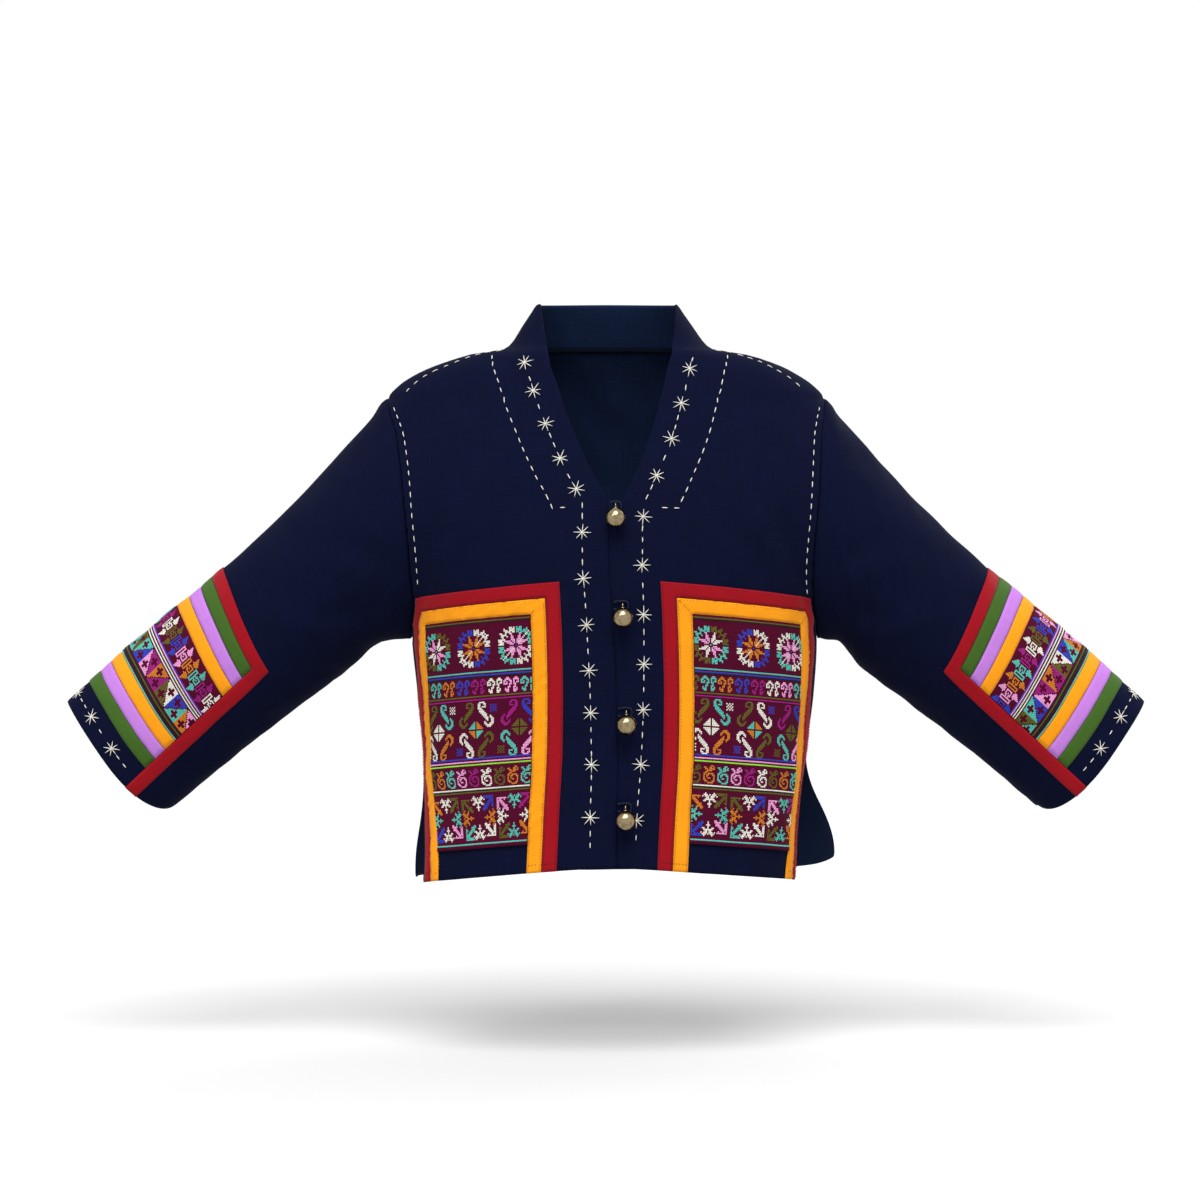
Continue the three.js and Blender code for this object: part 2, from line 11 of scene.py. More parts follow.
import bpy
import numpy as np
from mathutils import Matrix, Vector


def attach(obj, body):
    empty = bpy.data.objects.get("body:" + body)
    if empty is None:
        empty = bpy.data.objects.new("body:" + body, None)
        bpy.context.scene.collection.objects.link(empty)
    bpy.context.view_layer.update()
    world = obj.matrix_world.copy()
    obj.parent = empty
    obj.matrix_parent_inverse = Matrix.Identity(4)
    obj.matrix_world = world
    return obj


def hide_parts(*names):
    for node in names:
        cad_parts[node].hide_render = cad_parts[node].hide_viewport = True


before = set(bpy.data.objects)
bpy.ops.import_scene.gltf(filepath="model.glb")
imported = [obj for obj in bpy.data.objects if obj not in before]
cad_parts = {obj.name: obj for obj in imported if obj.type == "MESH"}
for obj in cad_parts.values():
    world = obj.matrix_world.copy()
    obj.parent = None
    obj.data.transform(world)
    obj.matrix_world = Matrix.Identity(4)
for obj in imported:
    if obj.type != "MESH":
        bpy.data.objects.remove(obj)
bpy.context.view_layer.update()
MM = 0.001

# ---------- Driving sizes, as in the CAD part ----------
CLOTH, TRIM, STRIP = 1.6, 1.0, 15
ROUNDNESS = 2.2
NECK_POINT, SHOULDER_TIP, ARMPIT = 2, -46, -286
VENT_TOP, SIDE_DROP, CENTRE_HEM = -391, 20, -507
PANEL_TOP, PANEL_FOOT, PANEL_WIDTH = -227, -479, 180
PANEL_START = {"right": 51, "left": 46}
OVERLAP_LIFT, STAND_RISE, SIDE_MARGIN = 2.3, 5, 5
ARMHOLE_DEPTH = {"front": 70, "back": 76}
SIGN = {"right": -1, "left": 1}

Section = namedtuple("Section", "z side front back lean")
BODY = [
    Section(55, 67, 40, 48, 1), Section(47, 71, 42, 50, 1), Section(24, 86, 51, 58, 1.5),
    Section(7, 98, 58, 64, 2), Section(2, 105, 60, 66, 2), Section(-4, 140, 64, 69, 2.5),
    Section(-11, 164, 67, 73, 2), Section(-22, 189, 71, 79, 0.5), Section(-34, 207, 75, 84, 0),
    Section(-46, 217, 79, 88, 0), Section(-88, 209, 92, 99, 3), Section(-150, 203, 106, 106, 5),
    Section(-210, 198, 112, 106, 5), Section(-248, 197, 111, 104, 7),
    Section(-286, 202, 109, 102, 8.5), Section(-340, 198, 106, 100, 9.5),
    Section(-391, 192, 104, 100, 9), Section(-460, 186, 104, 103, 5.5),
    Section(-540, 184, 106, 108, 2),
]
Edge = namedtuple("Edge", "z right left")
FRONT_EDGE = [
    Edge(47, 67, 69), Edge(24, 64, 67), Edge(-10, 58, 61), Edge(-39, 47, 56),
    Edge(-68, 39, 47), Edge(-100, 28, 35), Edge(-128, 16, 22), Edge(-156, 3, 8),
    Edge(-186, 3, -14), Edge(-265, 2, -14), Edge(-340, 0, -14), Edge(-507, -6, -16),
]
Ring = namedtuple("Ring", "along fold_out fold_up under_out under_up depth back")
SLEEVE = [
    Ring(0, 217, -46, 202, -286, 74, 2), Ring(62, 259, -93, 227, -289, 72, 5),
    Ring(146, 316, -153, 256, -315, 65, 12), Ring(232, 379, -211, 296, -345, 58, 22),
    Ring(342, 465, -281, 366, -398, 52, 34), Ring(448, 546, -350, 438, -457, 48, 44),
]
SLEEVE_LENGTH, FRONT_LEAD, SLEEVE_PANEL, CUFF_BAND, SLEEVE_BROCADE = 448, 15, 130, 31, 73
Vent = namedtuple("Vent", "flare lift forward")
VENT = {"right": Vent(9, 2, 38), "left": Vent(42, 24, 10)}
Button = namedtuple("Button", "z x")  # x is from the leaning middle of the body
BUTTONS = [Button(-169, 4), Button(-265, 8), Button(-368, 10), Button(-460, 13)]
BALL = 10


# ---------- Curves through tables ----------
def clamp(t):
    return np.clip(t, 0, 1)


def smooth(t):
    return clamp(t) ** 2 * (3 - 2 * clamp(t))


def mix(a, b, t):
    return a + (b - a) * t


def walked(points):
    """The length walked along a row of points, at each of them."""
    return np.concatenate([[0], np.cumsum(np.linalg.norm(np.diff(points, axis=0), axis=1))])


def through(table, at, value):
    """A smooth curve through a table's rows that never overshoots between two of them."""
    rows = sorted(table, key=lambda row: getattr(row, at))
    x = np.array([float(getattr(row, at)) for row in rows])
    y = np.array([float(getattr(row, value)) for row in rows])
    slope = np.diff(y) / np.diff(x)
    a, b = slope[:-1], slope[1:]
    inner = np.where(a * b > 0, 2 * a * b / np.where(a * b > 0, a + b, 1), 0)
    tangent = np.concatenate([slope[:1], inner, slope[-1:]])

    def curve(t):
        t = np.clip(t, x[0], x[-1])
        i = np.clip(np.searchsorted(x, t, side="right") - 1, 0, len(x) - 2)
        step = x[i + 1] - x[i]
        s = (t - x[i]) / step
        return (
            y[i] * (1 + 2 * s) * (1 - s) ** 2
            + tangent[i] * step * s * (1 - s) ** 2
            + y[i + 1] * s * s * (3 - 2 * s)
            + tangent[i + 1] * step * s * s * (s - 1)
        )

    return curve


side_at = through(BODY, "z", "side")
lean_at = through(BODY, "z", "lean")
depth_at = {"front": through(BODY, "z", "front"), "back": through(BODY, "z", "back")}
edge_at = {side: through(FRONT_EDGE, "z", side) for side in SIGN}
ring_at = {name: through(SLEEVE, "along", name) for name in Ring._fields[1:]}


# ---------- The garment surface ----------
def vent_share(z):
    return smooth((VENT_TOP - z) / (VENT_TOP - CENTRE_HEM + SIDE_DROP))


def armhole_depth(face, z):
    if z >= SHOULDER_TIP or z <= ARMPIT:
        return 0.0
    middle = (SHOULDER_TIP + ARMPIT) / 2
    h = (z - middle) / (SHOULDER_TIP - middle)
    return ARMHOLE_DEPTH[face] * (1 - h * h) ** (0.6 if h > 0 else 0.85)


STEPS = 60


@lru_cache(maxsize=None)
def half_section(face, side, z):
    """Half a body section: outward and deep distances, and the length along the cloth."""
    depth = depth_at[face](z)
    vent = vent_share(z)
    end = armhole_depth(face, z) + (VENT[side].forward * vent if face == "front" else 0)
    flare = VENT[side].flare * vent if face == "back" else 0
    reach = (side_at(z) + flare) / (1 - (end / depth) ** ROUNDNESS) ** (1 / ROUNDNESS)
    a = np.arccos((end / depth) ** (ROUNDNESS / 2)) * np.arange(STEPS + 1) / STEPS
    x = reach * np.sin(a) ** (2 / ROUNDNESS)
    y = depth * np.maximum(0, np.cos(a)) ** (2 / ROUNDNESS)
    return x, y, np.concatenate([[0], np.cumsum(np.hypot(np.diff(x), np.diff(y)))])


def total_at(face, side, z):
    return half_section(face, side, round(float(z), 3))[2][-1]


def body_point(face, side, distance, z):
    x, y, length = half_section(face, side, round(float(z), 3))
    along = min(abs(distance), length[-1])
    out = np.interp(along, length, x) * (1 if distance >= 0 else -1)
    deep = np.interp(along, length, y)
    return [lean_at(z) + SIGN[side] * out, -deep if face == "front" else deep, z]


FRONT_ROWS = [
    CENTRE_HEM, PANEL_FOOT, -444, -408, -371, -336, -300, -266, PANEL_TOP - 2 * STRIP,
    PANEL_TOP - STRIP, PANEL_TOP, -200, -178, -156, -128, -100, -75, -57, SHOULDER_TIP,
    -34, -22, -11, -4, NECK_POINT, 24, 47,
]
NECK_ROW = FRONT_ROWS.index(NECK_POINT)
ARMHOLE_ROWS = FRONT_ROWS[FRONT_ROWS.index(-266):FRONT_ROWS.index(SHOULDER_TIP) + 1][::-1]


DROP_FADE, EVEN_FADE = 110, 70  # how far above the panel the side drop ends, and columns are even


def drop_at(v):
    """How much lower the cloth hangs at the side than at the centre."""
    return SIDE_DROP * (1 - smooth((v - PANEL_TOP) / DROP_FADE))


PANEL_LINES = [0, STRIP, 2 * STRIP, PANEL_WIDTH / 2 - 20, PANEL_WIDTH / 2 + 20,
               PANEL_WIDTH - 2 * STRIP, PANEL_WIDTH - STRIP, PANEL_WIDTH]


def panel_columns(side, v):
    x, _, length = half_section("front", side, round(float(v - drop_at(v)), 3))
    edge = float(edge_at[side](v))
    start = edge if edge < 0 else float(np.interp(edge, x, length))
    room = length[-1] - SIDE_MARGIN - PANEL_START[side] - 2 * STRIP
    squeeze = min(1, room / (PANEL_WIDTH - 2 * STRIP))
    strips = [PANEL_START[side] + min(u, 2 * STRIP) + max(0, u - 2 * STRIP) * squeeze
              for u in PANEL_LINES]
    return np.array([start, (start + strips[0]) / 2, *strips, length[-1]])


def front_columns(side, v):
    """Distances from the centre of a front's grid lines, from its edge to its side."""
    here, below = panel_columns(side, v), panel_columns(side, PANEL_TOP)
    even = mix(here[0], here[-1], (below - below[0]) / (below[-1] - below[0]))
    return mix(here, even, smooth((v - PANEL_TOP) / EVEN_FADE))


def refine(lines, pitch):
    """Splits the steps between lines to about a pitch: positions, and each cell's step."""
    fine, step = [float(lines[0])], []
    for k, (a, b) in enumerate(zip(lines, lines[1:])):
        parts = max(1, round(abs(b - a) / pitch))
        fine += [a + (b - a) * (i + 1) / parts for i in range(parts)]
        step += [k] * parts
    return np.array(fine), np.array(step)


BODY_MIDDLE = 5  # about where the leaning body is centred, across


class Surface:
    """A grid of points on the garment, with distances u and v along the cloth."""

    def __init__(self, points, u, v, row_of, column_of, closed=False):
        self.points, self.u, self.v = np.array(points), np.array(u), np.array(v)
        self.row_of, self.column_of, self.closed = row_of, column_of, closed
        self.settle()

    def settle(self):
        """Works out the outward normals again after the points have moved."""
        p = self.points
        if self.closed:
            across = np.roll(p, -1, axis=1) - np.roll(p, 1, axis=1)
        else:
            across = np.gradient(p, axis=1)
        n = np.cross(across, np.gradient(p, axis=0))
        n /= np.maximum(np.linalg.norm(n, axis=2, keepdims=True), 1e-9)
        centre = p.mean(axis=1, keepdims=True) if self.closed else np.array([BODY_MIDDLE, 0, 0])
        if ((p - centre) * n)[..., :2].sum() < 0:
            n = -n
        self.normals = n

    def push(self, amount):
        """Moves the points outward by an amount for each."""
        self.points = self.points + self.normals * np.asarray(amount)[..., None]
        self.settle()

    def at(self, row, column, lift=0.0):
        """Points and normals at fractional grid positions, lifted off the cloth."""
        rows, columns = self.points.shape[:2]
        row = np.clip(np.asarray(row, float), 0, rows - 1.0001)
        column = np.asarray(column, float)
        column = column % columns if self.closed else np.clip(column, 0, columns - 1.0001)
        i, j = row.astype(int), column.astype(int)
        s, t = (row - i)[..., None], (column - j)[..., None]
        k = (j + 1) % columns

        def blend(grid):
            low = mix(grid[i, j], grid[i, k], t)
            return mix(low, mix(grid[i + 1, j], grid[i + 1, k], t), s)

        normal = blend(self.normals)
        normal /= np.linalg.norm(normal, axis=-1, keepdims=True)
        return blend(self.points) + normal * np.asarray(lift)[..., None], normal

    def find(self, u, v):
        """The fractional grid position of a distance u across, at v up or along."""
        order = self.v[:, 0] if self.v.ndim == 2 else self.v
        if order[0] < order[-1]:
            row = float(np.interp(v, order, np.arange(len(order))))
        else:
            row = float(np.interp(-v, -order, np.arange(len(order))))
        i = min(int(row), len(order) - 2)
        line = mix(self.u[i], self.u[i + 1], row - i)
        columns = np.arange(len(line))
        if self.closed:  # the columns past the underarm have u below nought
            columns = np.where(line < 0, columns - len(line), columns)
        order = np.argsort(columns)
        return row, float(np.interp(u, line[order], columns[order]))

    def u_at(self, v, column):
        """The distance across of one of the grid's columns, at a distance v."""
        return float(np.interp(v, self.v, self.u[:, column]))


PITCH = 3.4
LAP_REACH, LAP_FADE = 48, 26  # the right front is lifted this near its edge
LAP_TOP, LAP_TOP_FADE = -150, 60  # and below this height


def front_surface(side):
    v_fine, row_of = refine(FRONT_ROWS, PITCH)
    q, column_of = refine(panel_columns(side, -300), PITCH)
    share = np.interp(q, panel_columns(side, -300), np.arange(len(PANEL_LINES) + 3))
    points, us = [], []
    for v in v_fine:
        columns = np.interp(share, np.arange(len(PANEL_LINES) + 3), front_columns(side, v))
        total = columns[-1]
        row = []
        for u in columns:
            z = v - drop_at(v) * (max(0, u) / total) ** 1.3
            lap = 0
            if side == "right":
                lap = (smooth((LAP_REACH - u) / LAP_FADE)
                       * (1 - smooth((v - LAP_TOP) / LAP_TOP_FADE)))
            point = body_point("front", side, u, z)
            point[1] -= OVERLAP_LIFT * lap
            row.append(point)
        row[-1] = body_point("front", side, total_at("front", side, v - drop_at(v)), v - drop_at(v))
        points.append(row)
        us.append(columns)
    return Surface(points, us, v_fine, row_of, column_of)


BACK_HALF, BACK_COARSE = 64, 8  # fine and coarse columns from the centre back to a side


def back_surface(first, last, stand=False):
    v_fine, row_of = refine(FRONT_ROWS[first:last], PITCH)
    points, us = [], []
    for v in v_fine:
        z = v if stand else v - drop_at(v)
        rise = 1 if stand else smooth((v - SHOULDER_TIP) / (NECK_POINT - SHOULDER_TIP))
        row, line = [], []
        for i in range(-BACK_HALF, BACK_HALF + 1):
            side, share = ("right" if i < 0 else "left"), abs(i) / BACK_HALF
            height = z + STAND_RISE * rise * (1 - share * share)
            distance = total_at("back", side, height) * share
            point = body_point("back", side, distance, height)
            point[2] += VENT[side].lift * vent_share(height) * share**4
            row.append(point)
            line.append(math.copysign(distance, i))
        points.append(row)
        us.append(line)
    columns = np.repeat(np.arange(2 * BACK_COARSE), BACK_HALF // BACK_COARSE)
    return Surface(points, us, v_fine, row_of, columns)


def ring_point(face, side, along, shares):
    """Points at shares of half a ring round the sleeve, from its fold to the underarm."""
    s = {name: float(curve(along)) for name, curve in ring_at.items()}
    lean = lean_at(ARMPIT) * SIGN[side] * (1 - smooth(along / 150))
    fold = np.array([s["fold_out"], s["back"], s["fold_up"]])
    under = np.array([s["under_out"] + lean, s["back"], s["under_up"]])
    middle, down = (fold + under) / 2, (under - fold) / 2
    outward = np.array([-down[2], 0, down[0]])
    outward /= np.linalg.norm(outward)
    lead = FRONT_LEAD * smooth(along / 300)
    facing = -1 if face == "front" else 1
    a = np.pi * np.arange(STEPS + 1) / STEPS
    bulge = np.sin(a) * (1 - np.cos(a)) / 1.3
    ring = middle - np.outer(np.cos(a), down) - np.outer(facing * lead * bulge, outward)
    ring[:, 1] += facing * s["depth"] * np.sin(a)
    length = walked(ring)
    at = np.asarray(shares) * length[-1]
    point = np.stack([np.interp(at, length, ring[:, k]) for k in range(3)], axis=1)
    point[:, 0] *= SIGN[side]
    return point, length[-1]


PANEL_EDGES = [CUFF_BAND]
for width in [STRIP] * 3 + [SLEEVE_BROCADE / 2] * 2 + [STRIP] * 4:
    PANEL_EDGES.append(PANEL_EDGES[-1] + width)
RINGS = [0, 30, 62, 104, 146, 190, *[SLEEVE_LENGTH - d for d in PANEL_EDGES][::-1],
         SLEEVE_LENGTH]
PANEL_RING = len(RINGS) - 1 - len(PANEL_EDGES)
PANEL_COLUMNS = 4
RING_HALF = len(ARMHOLE_ROWS) - 1
RING_FINE = 6  # fine columns in each coarse one


def ring_shares(face, side, along, start):
    total = ring_point(face, side, along, [0])[1]
    fixed = [SLEEVE_PANEL * i / PANEL_COLUMNS for i in range(PANEL_COLUMNS + 1)]
    left = RING_HALF - PANEL_COLUMNS - 1
    fixed += [mix(SLEEVE_PANEL + STRIP, total, i / left) for i in range(left + 1)]
    return mix(start, np.array(fixed) / total, smooth(along / RINGS[PANEL_RING])), total


def sleeve_surface(side):
    along_fine, row_of = refine(RINGS, PITCH)
    fine = np.arange(RING_HALF * RING_FINE + 1) / RING_FINE
    coarse = np.arange(RING_HALF + 1)
    seam, start, offset = {}, {}, {}
    for face in ("front", "back"):
        rows = np.interp(fine, coarse, ARMHOLE_ROWS)
        seam[face] = np.array([
            body_point(face, side, total_at(face, side, v - drop_at(v)), float(v - drop_at(v)))
            for v in rows
        ])
        length = walked(seam[face])
        start[face] = length / length[-1]
        offset[face] = seam[face] - ring_point(face, side, 0, start[face])[0]
    points, us = [], []
    for along in along_fine:
        fade = clamp(1 - along / 90) ** 2
        half = {}
        for face in ("front", "back"):
            share, total = ring_shares(face, side, along, start[face][::RING_FINE])
            share = np.interp(fine, coarse, share)
            settle = smooth(along / 40)
            share = mix(start[face], share, settle)
            half[face] = ring_point(face, side, along, share)[0] + offset[face] * fade
            half[face + "_u"] = share * total
        points.append(np.concatenate([half["front"], half["back"][::-1][1:-1]]))
        us.append(np.concatenate([half["front_u"], -half["back_u"][::-1][1:-1]]))
    ring = np.arange(RING_HALF * 2).repeat(RING_FINE)
    return Surface(points, us, along_fine, row_of, ring, closed=True)


# ---------- Folds ----------
SEAM_DIP = 0.7  # how far the cloth sinks at a seam
Fold = namedtuple("Fold", "u0 v0 u1 v1 width depth")
FRONT_FOLDS = [
    Fold(226, -262, 170, -170, 13, -3.0), Fold(222, -245, 190, -130, 10, 1.8),
    Fold(228, -285, 205, -380, 12, -2.2), Fold(150, -200, 120, -90, 22, 1.2),
    Fold(96, -190, 84, -95, 16, -1.0), Fold(60, -500, 64, -330, 14, 1.0),
    Fold(130, -520, 122, -420, 15, -1.6), Fold(180, -520, 186, -400, 13, 1.6),
    Fold(20, -500, 24, -240, 12, -0.7), Fold(120, -40, 200, -70, 15, -1.0),
]
BACK_FOLDS = [
    Fold(228, -280, 150, -190, 16, -4.0), Fold(-230, -275, -160, -170, 15, -3.6),
    Fold(215, -255, 120, -120, 18, 2.6), Fold(-218, -250, -110, -140, 17, 2.8),
    Fold(60, -520, 74, -280, 20, 3.2), Fold(-84, -520, -70, -300, 22, -3.4),
    Fold(150, -520, 158, -370, 16, -3.0), Fold(-160, -515, -172, -350, 17, 3.0),
    Fold(-20, -520, -6, -390, 18, -2.4), Fold(30, -70, 12, -210, 26, -1.6),
    Fold(-120, -60, -60, -160, 22, 1.4), Fold(140, -50, 80, -150, 20, -1.5),
]
SLEEVE_FOLDS = [
    Fold(205, 14, 120, 92, 14, -3.6), Fold(190, 30, 90, 150, 13, 2.2),
    Fold(215, 60, 150, 150, 11, -2.6), Fold(200, 120, 120, 190, 12, 1.8),
    Fold(210, 170, 140, 236, 11, -1.8), Fold(60, 40, 20, 150, 18, -1.2),
    Fold(196, 250, 162, 400, 12, -1.4), Fold(-205, 20, -110, 110, 15, -3.8),
    Fold(-185, 60, -90, 180, 14, 2.6), Fold(-215, 100, -130, 200, 12, -2.8),
    Fold(-200, 160, -120, 240, 12, 2.0), Fold(-60, 60, -20, 190, 20, -1.4),
    Fold(-190, 260, -160, 410, 12, -1.6), Fold(20, 8, 90, 30, 8, 1.2),
]


def fold_amount(table, u, v):
    """How far the folds move the cloth outward at distances u across and v along it."""
    amount = np.zeros(np.broadcast(u, v).shape)
    for f in table:
        du, dv = f.u1 - f.u0, f.v1 - f.v0
        along = ((u - f.u0) * du + (v - f.v0) * dv) / (du * du + dv * dv)
        t = clamp(along)
        away = np.hypot(u - f.u0 - t * du, v - f.v0 - t * dv)
        taper = (0.35 + 0.65 * np.sin(np.pi * clamp(along * 0.9 + 0.05)))
        amount += f.depth * taper * np.exp(-((away / f.width) ** 2))
    return amount


def ripple(u, v, long, short, seed):
    """Uneven soft waves about 1 high, from a few slanting sines with seeded phases."""
    pick = np.random.default_rng(seed)
    total = 0
    for _ in range(5):
        a, b = pick.uniform(0.6, 1.6, 2)
        total = total + np.sin(6.283 * (a * u / long + b * v / short * pick.choice([-1, 1])
                                        + pick.uniform()))
    return total / 2.6


def armhole_share(away, v):
    """How much of a seam's puckers the cloth has, at a distance away from the armhole."""
    return np.exp(-((away / 9) ** 2)) * (v > ARMPIT + 10) * (v < SHOULDER_TIP)


def hem_share(v):
    """How much of the hem's waves the cloth has."""
    return smooth((CENTRE_HEM + 70 - v) / 60)


def dress_front(side, seed):
    surface = front_surface(side)
    u, v = surface.u, surface.v[:, None]
    calm = smooth((u[:, -1:] - u) / 16) * smooth((48 - v) / 20)
    amount = fold_amount(FRONT_FOLDS, u, v) * calm
    amount = amount + 0.45 * ripple(u, v, 60, 90, seed) * calm
    amount = amount + 0.5 * ripple(u, v, 50, 13, seed + 1) * armhole_share(u[:, -1:] - u, v)
    amount = amount + 1.3 * ripple(u, v, 90, 400, seed + 2) * hem_share(v)
    amount[:, -1] -= SEAM_DIP
    amount = np.where(v > 46, amount - 0.3, amount)
    surface.push(amount)
    return surface


def dress_back():
    surface = back_surface(0, NECK_ROW + 1)
    u, v = surface.u, surface.v[:, None]
    half = np.abs(u[:, -1:])
    calm = smooth((half - np.abs(u)) / 16) * smooth((NECK_POINT - v) / 16)
    amount = fold_amount(BACK_FOLDS, u, v) * calm
    amount = amount + 0.6 * ripple(u, v, 80, 110, 21) * calm
    amount = amount + 0.5 * ripple(u, v, 50, 13, 22) * armhole_share(half - np.abs(u), v)
    amount = amount + 1.8 * ripple(u, v, 110, 400, 23) * hem_share(v) * calm
    amount[:, [0, -1]] -= SEAM_DIP
    surface.push(amount)
    return surface


def dress_sleeve(side, seed):
    surface = sleeve_surface(side)
    u, v = surface.u, surface.v[:, None]
    calm = smooth(v / 22)
    amount = fold_amount(SLEEVE_FOLDS, u, v + seed % 7) * calm
    amount = amount + 0.5 * ripple(u, v, 70, 80, seed) * calm
    amount = amount + 0.7 * ripple(u, v, 14, 60, seed + 1) * np.exp(-((v / 9) ** 2)) * (v > 3)
    amount = amount + 2.2 * np.exp(-(((v - 9) / 9) ** 2)) * np.exp(-((u / 60) ** 2))
    amount[0] -= SEAM_DIP
    surface.push(amount)
    return surface


# ---------- Meshes ----------
def add_object(name, data):
    made = bpy.data.objects.new(name, data)
    bpy.context.scene.collection.objects.link(made)
    return made


def make(name, vertices, faces, materials, corner_uvs=None, flat=(), wear=None, index=None):
    """A mesh piece from points in millimetres."""
    mesh = bpy.data.meshes.new(name)
    mesh.from_pydata((np.asarray(vertices) * MM).tolist(), [], [list(f) for f in faces])
    piece = add_object(name, mesh)
    for material in materials:
        mesh.materials.append(material)
    softened = np.ones(len(faces), dtype=bool)
    softened[list(flat)] = False
    mesh.polygons.foreach_set("use_smooth", softened)
    if index is not None:
        mesh.polygons.foreach_set("material_index", index)
    if corner_uvs is not None:
        layer = mesh.uv_layers.new(name="cloth")
        layer.data.foreach_set("uv", (np.asarray(corner_uvs) * MM).ravel())
    if wear is not None:
        layer = mesh.attributes.new("wear", "FLOAT", "POINT")
        layer.data.foreach_set("value", np.asarray(wear, dtype=np.float32))
    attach(piece, "root")
    return piece


INSET, EDGE_DIP, TUBE_JUMP = 0.25, 0.35, 60


def picked_cells(surface, covers):
    rows, columns = surface.points.shape[:2]
    columns -= 0 if surface.closed else 1
    return np.array([[bool(covers(surface.row_of[i], surface.column_of[j]))
                      for j in range(columns)] for i in range(rows - 1)])


def shell(name, surface, covers, low, high, materials):
    """A closed wall over the grid cells that covers(row step, column step) picks.

    The last material is the inner face's.
    """
    cells = picked_cells(surface, covers)
    columns = surface.points.shape[1]
    wide = np.pad(cells, 1)
    if surface.closed:
        wide[1:-1, 0], wide[1:-1, -1] = cells[:, -1], cells[:, 0]
    # Which of the four cells round each grid point are covered.
    a, b, c, d = [part[:, :columns].astype(int) for part in
                  (wide[:-1, :-1], wide[:-1, 1:], wide[1:, :-1], wide[1:, 1:])]
    used, whole = (a + b + c + d) > 0, (a + b + c + d) == 4
    inward_row, inward_column = np.sign(c + d - a - b), np.sign(b + d - a - c)
    p, n = surface.points, surface.normals
    step_row = np.gradient(p, axis=0)
    step_column = ((np.roll(p, -1, 1) - np.roll(p, 1, 1)) / 2 if surface.closed
                   else np.gradient(p, axis=1))
    step_row /= np.linalg.norm(step_row, axis=2, keepdims=True)
    step_column /= np.maximum(np.linalg.norm(step_column, axis=2, keepdims=True), 1e-9)
    moved = p + INSET * (inward_row[..., None] * step_row + inward_column[..., None] * step_column)
    low = np.broadcast_to(low, used.shape)
    high = np.where(whole, high, high - EDGE_DIP)
    ids = np.full(used.shape, -1)
    ids[used] = np.arange(used.sum())
    count = int(used.sum())
    top, bottom = (moved + n * high[..., None])[used], (moved + n * low[..., None])[used]
    i0, j0 = [int(k[0]) for k in np.nonzero(cells)]
    k0 = (j0 + 1) % columns
    turn = np.cross(p[i0, k0] - p[i0, j0], p[i0 + 1, j0] - p[i0, j0]) @ n[i0, j0] < 0
    faces, flat, inner, uvs, area, span = [], [], [], [], 0.0, []

    def add(corners, uv):
        faces.append(corners[::-1] if turn else corners)
        uvs.extend(uv[::-1] if turn else uv)

    for i, j in zip(*np.nonzero(cells)):
        k = (j + 1) % columns
        spots = [(i, j), (i, k), (i + 1, k), (i + 1, j)]
        loop = [ids[spot] for spot in spots]
        uv = [[surface.u[spot], surface.v[spot[0]]] for spot in spots]
        if max(q[0] for q in uv) - min(q[0] for q in uv) > TUBE_JUMP:
            for corner, next_one in ((0, 1), (3, 2)):
                uv[corner][0] = uv[next_one][0] - np.linalg.norm(p[spots[corner]] - p[spots[next_one]])
        q0, q1, q2, q3 = [p[spot] for spot in spots]
        area += np.linalg.norm(np.cross(q2 - q0, q3 - q1)) / 2
        span += uv
        add(loop, uv)
        inner.append(len(faces))
        add([q + count for q in loop][::-1], uv[::-1])
        beyond = [wide[i, j + 1], wide[i + 1, j + 2], wide[i + 2, j + 1], wide[i + 1, j]]
        for e in range(4):
            if not beyond[e]:
                f = (e + 1) % 4
                flat.append(len(faces))
                add([loop[e], loop[e] + count, loop[f] + count, loop[f]],
                    [uv[e], uv[e], uv[f], uv[f]])
    wear = np.where(whole, 0.0, 1.0)[used]
    index = np.zeros(len(faces), dtype=int)
    index[inner] = len(materials) - 1
    piece = make(name, np.concatenate([top, bottom]), faces, materials, uvs, flat,
                 np.concatenate([wear, wear]), index)
    return piece


def everywhere(row, column):
    """Covers every cell, for the pieces that are a whole surface."""
    return True


# ---------- Materials ----------
def node(tree, kind, **inputs):
    made = tree.nodes.new(kind)
    for name, value in inputs.items():
        socket = made.inputs[name.replace("_", " ")]
        if isinstance(value, bpy.types.NodeSocket):
            tree.links.new(value, socket)
        else:
            socket.default_value = value
    return made


def colour(r, g, b):
    """Linear colour from the usual 0 to 255."""
    line = [c / 255 / 12.92 if c <= 10 else ((c / 255 + 0.055) / 1.055) ** 2.4 for c in (r, g, b)]
    return (*line, 1.0)


def math_node(tree, operation, a, b=0.5):
    made = tree.nodes.new("ShaderNodeMath")
    made.operation = operation
    for socket, value in zip(made.inputs, (a, b)):
        if isinstance(value, bpy.types.NodeSocket):
            tree.links.new(value, socket)
        else:
            socket.default_value = value
    return made.outputs[0]


def noise(tree, vector, scale, stretch=(1, 1, 1), detail=3.0):
    place = node(tree, "ShaderNodeMapping", Vector=vector, Scale=stretch)
    made = node(tree, "ShaderNodeTexNoise", Vector=place.outputs[0], Scale=scale, Detail=detail)
    return made.outputs["Fac"]


def ramp(tree, fac, low, high, a=0.0, b=1.0):
    made = node(tree, "ShaderNodeMapRange", Value=fac)
    for name, value in (("From Min", low), ("From Max", high), ("To Min", a), ("To Max", b)):
        made.inputs[name].default_value = value
    return made.outputs[0]


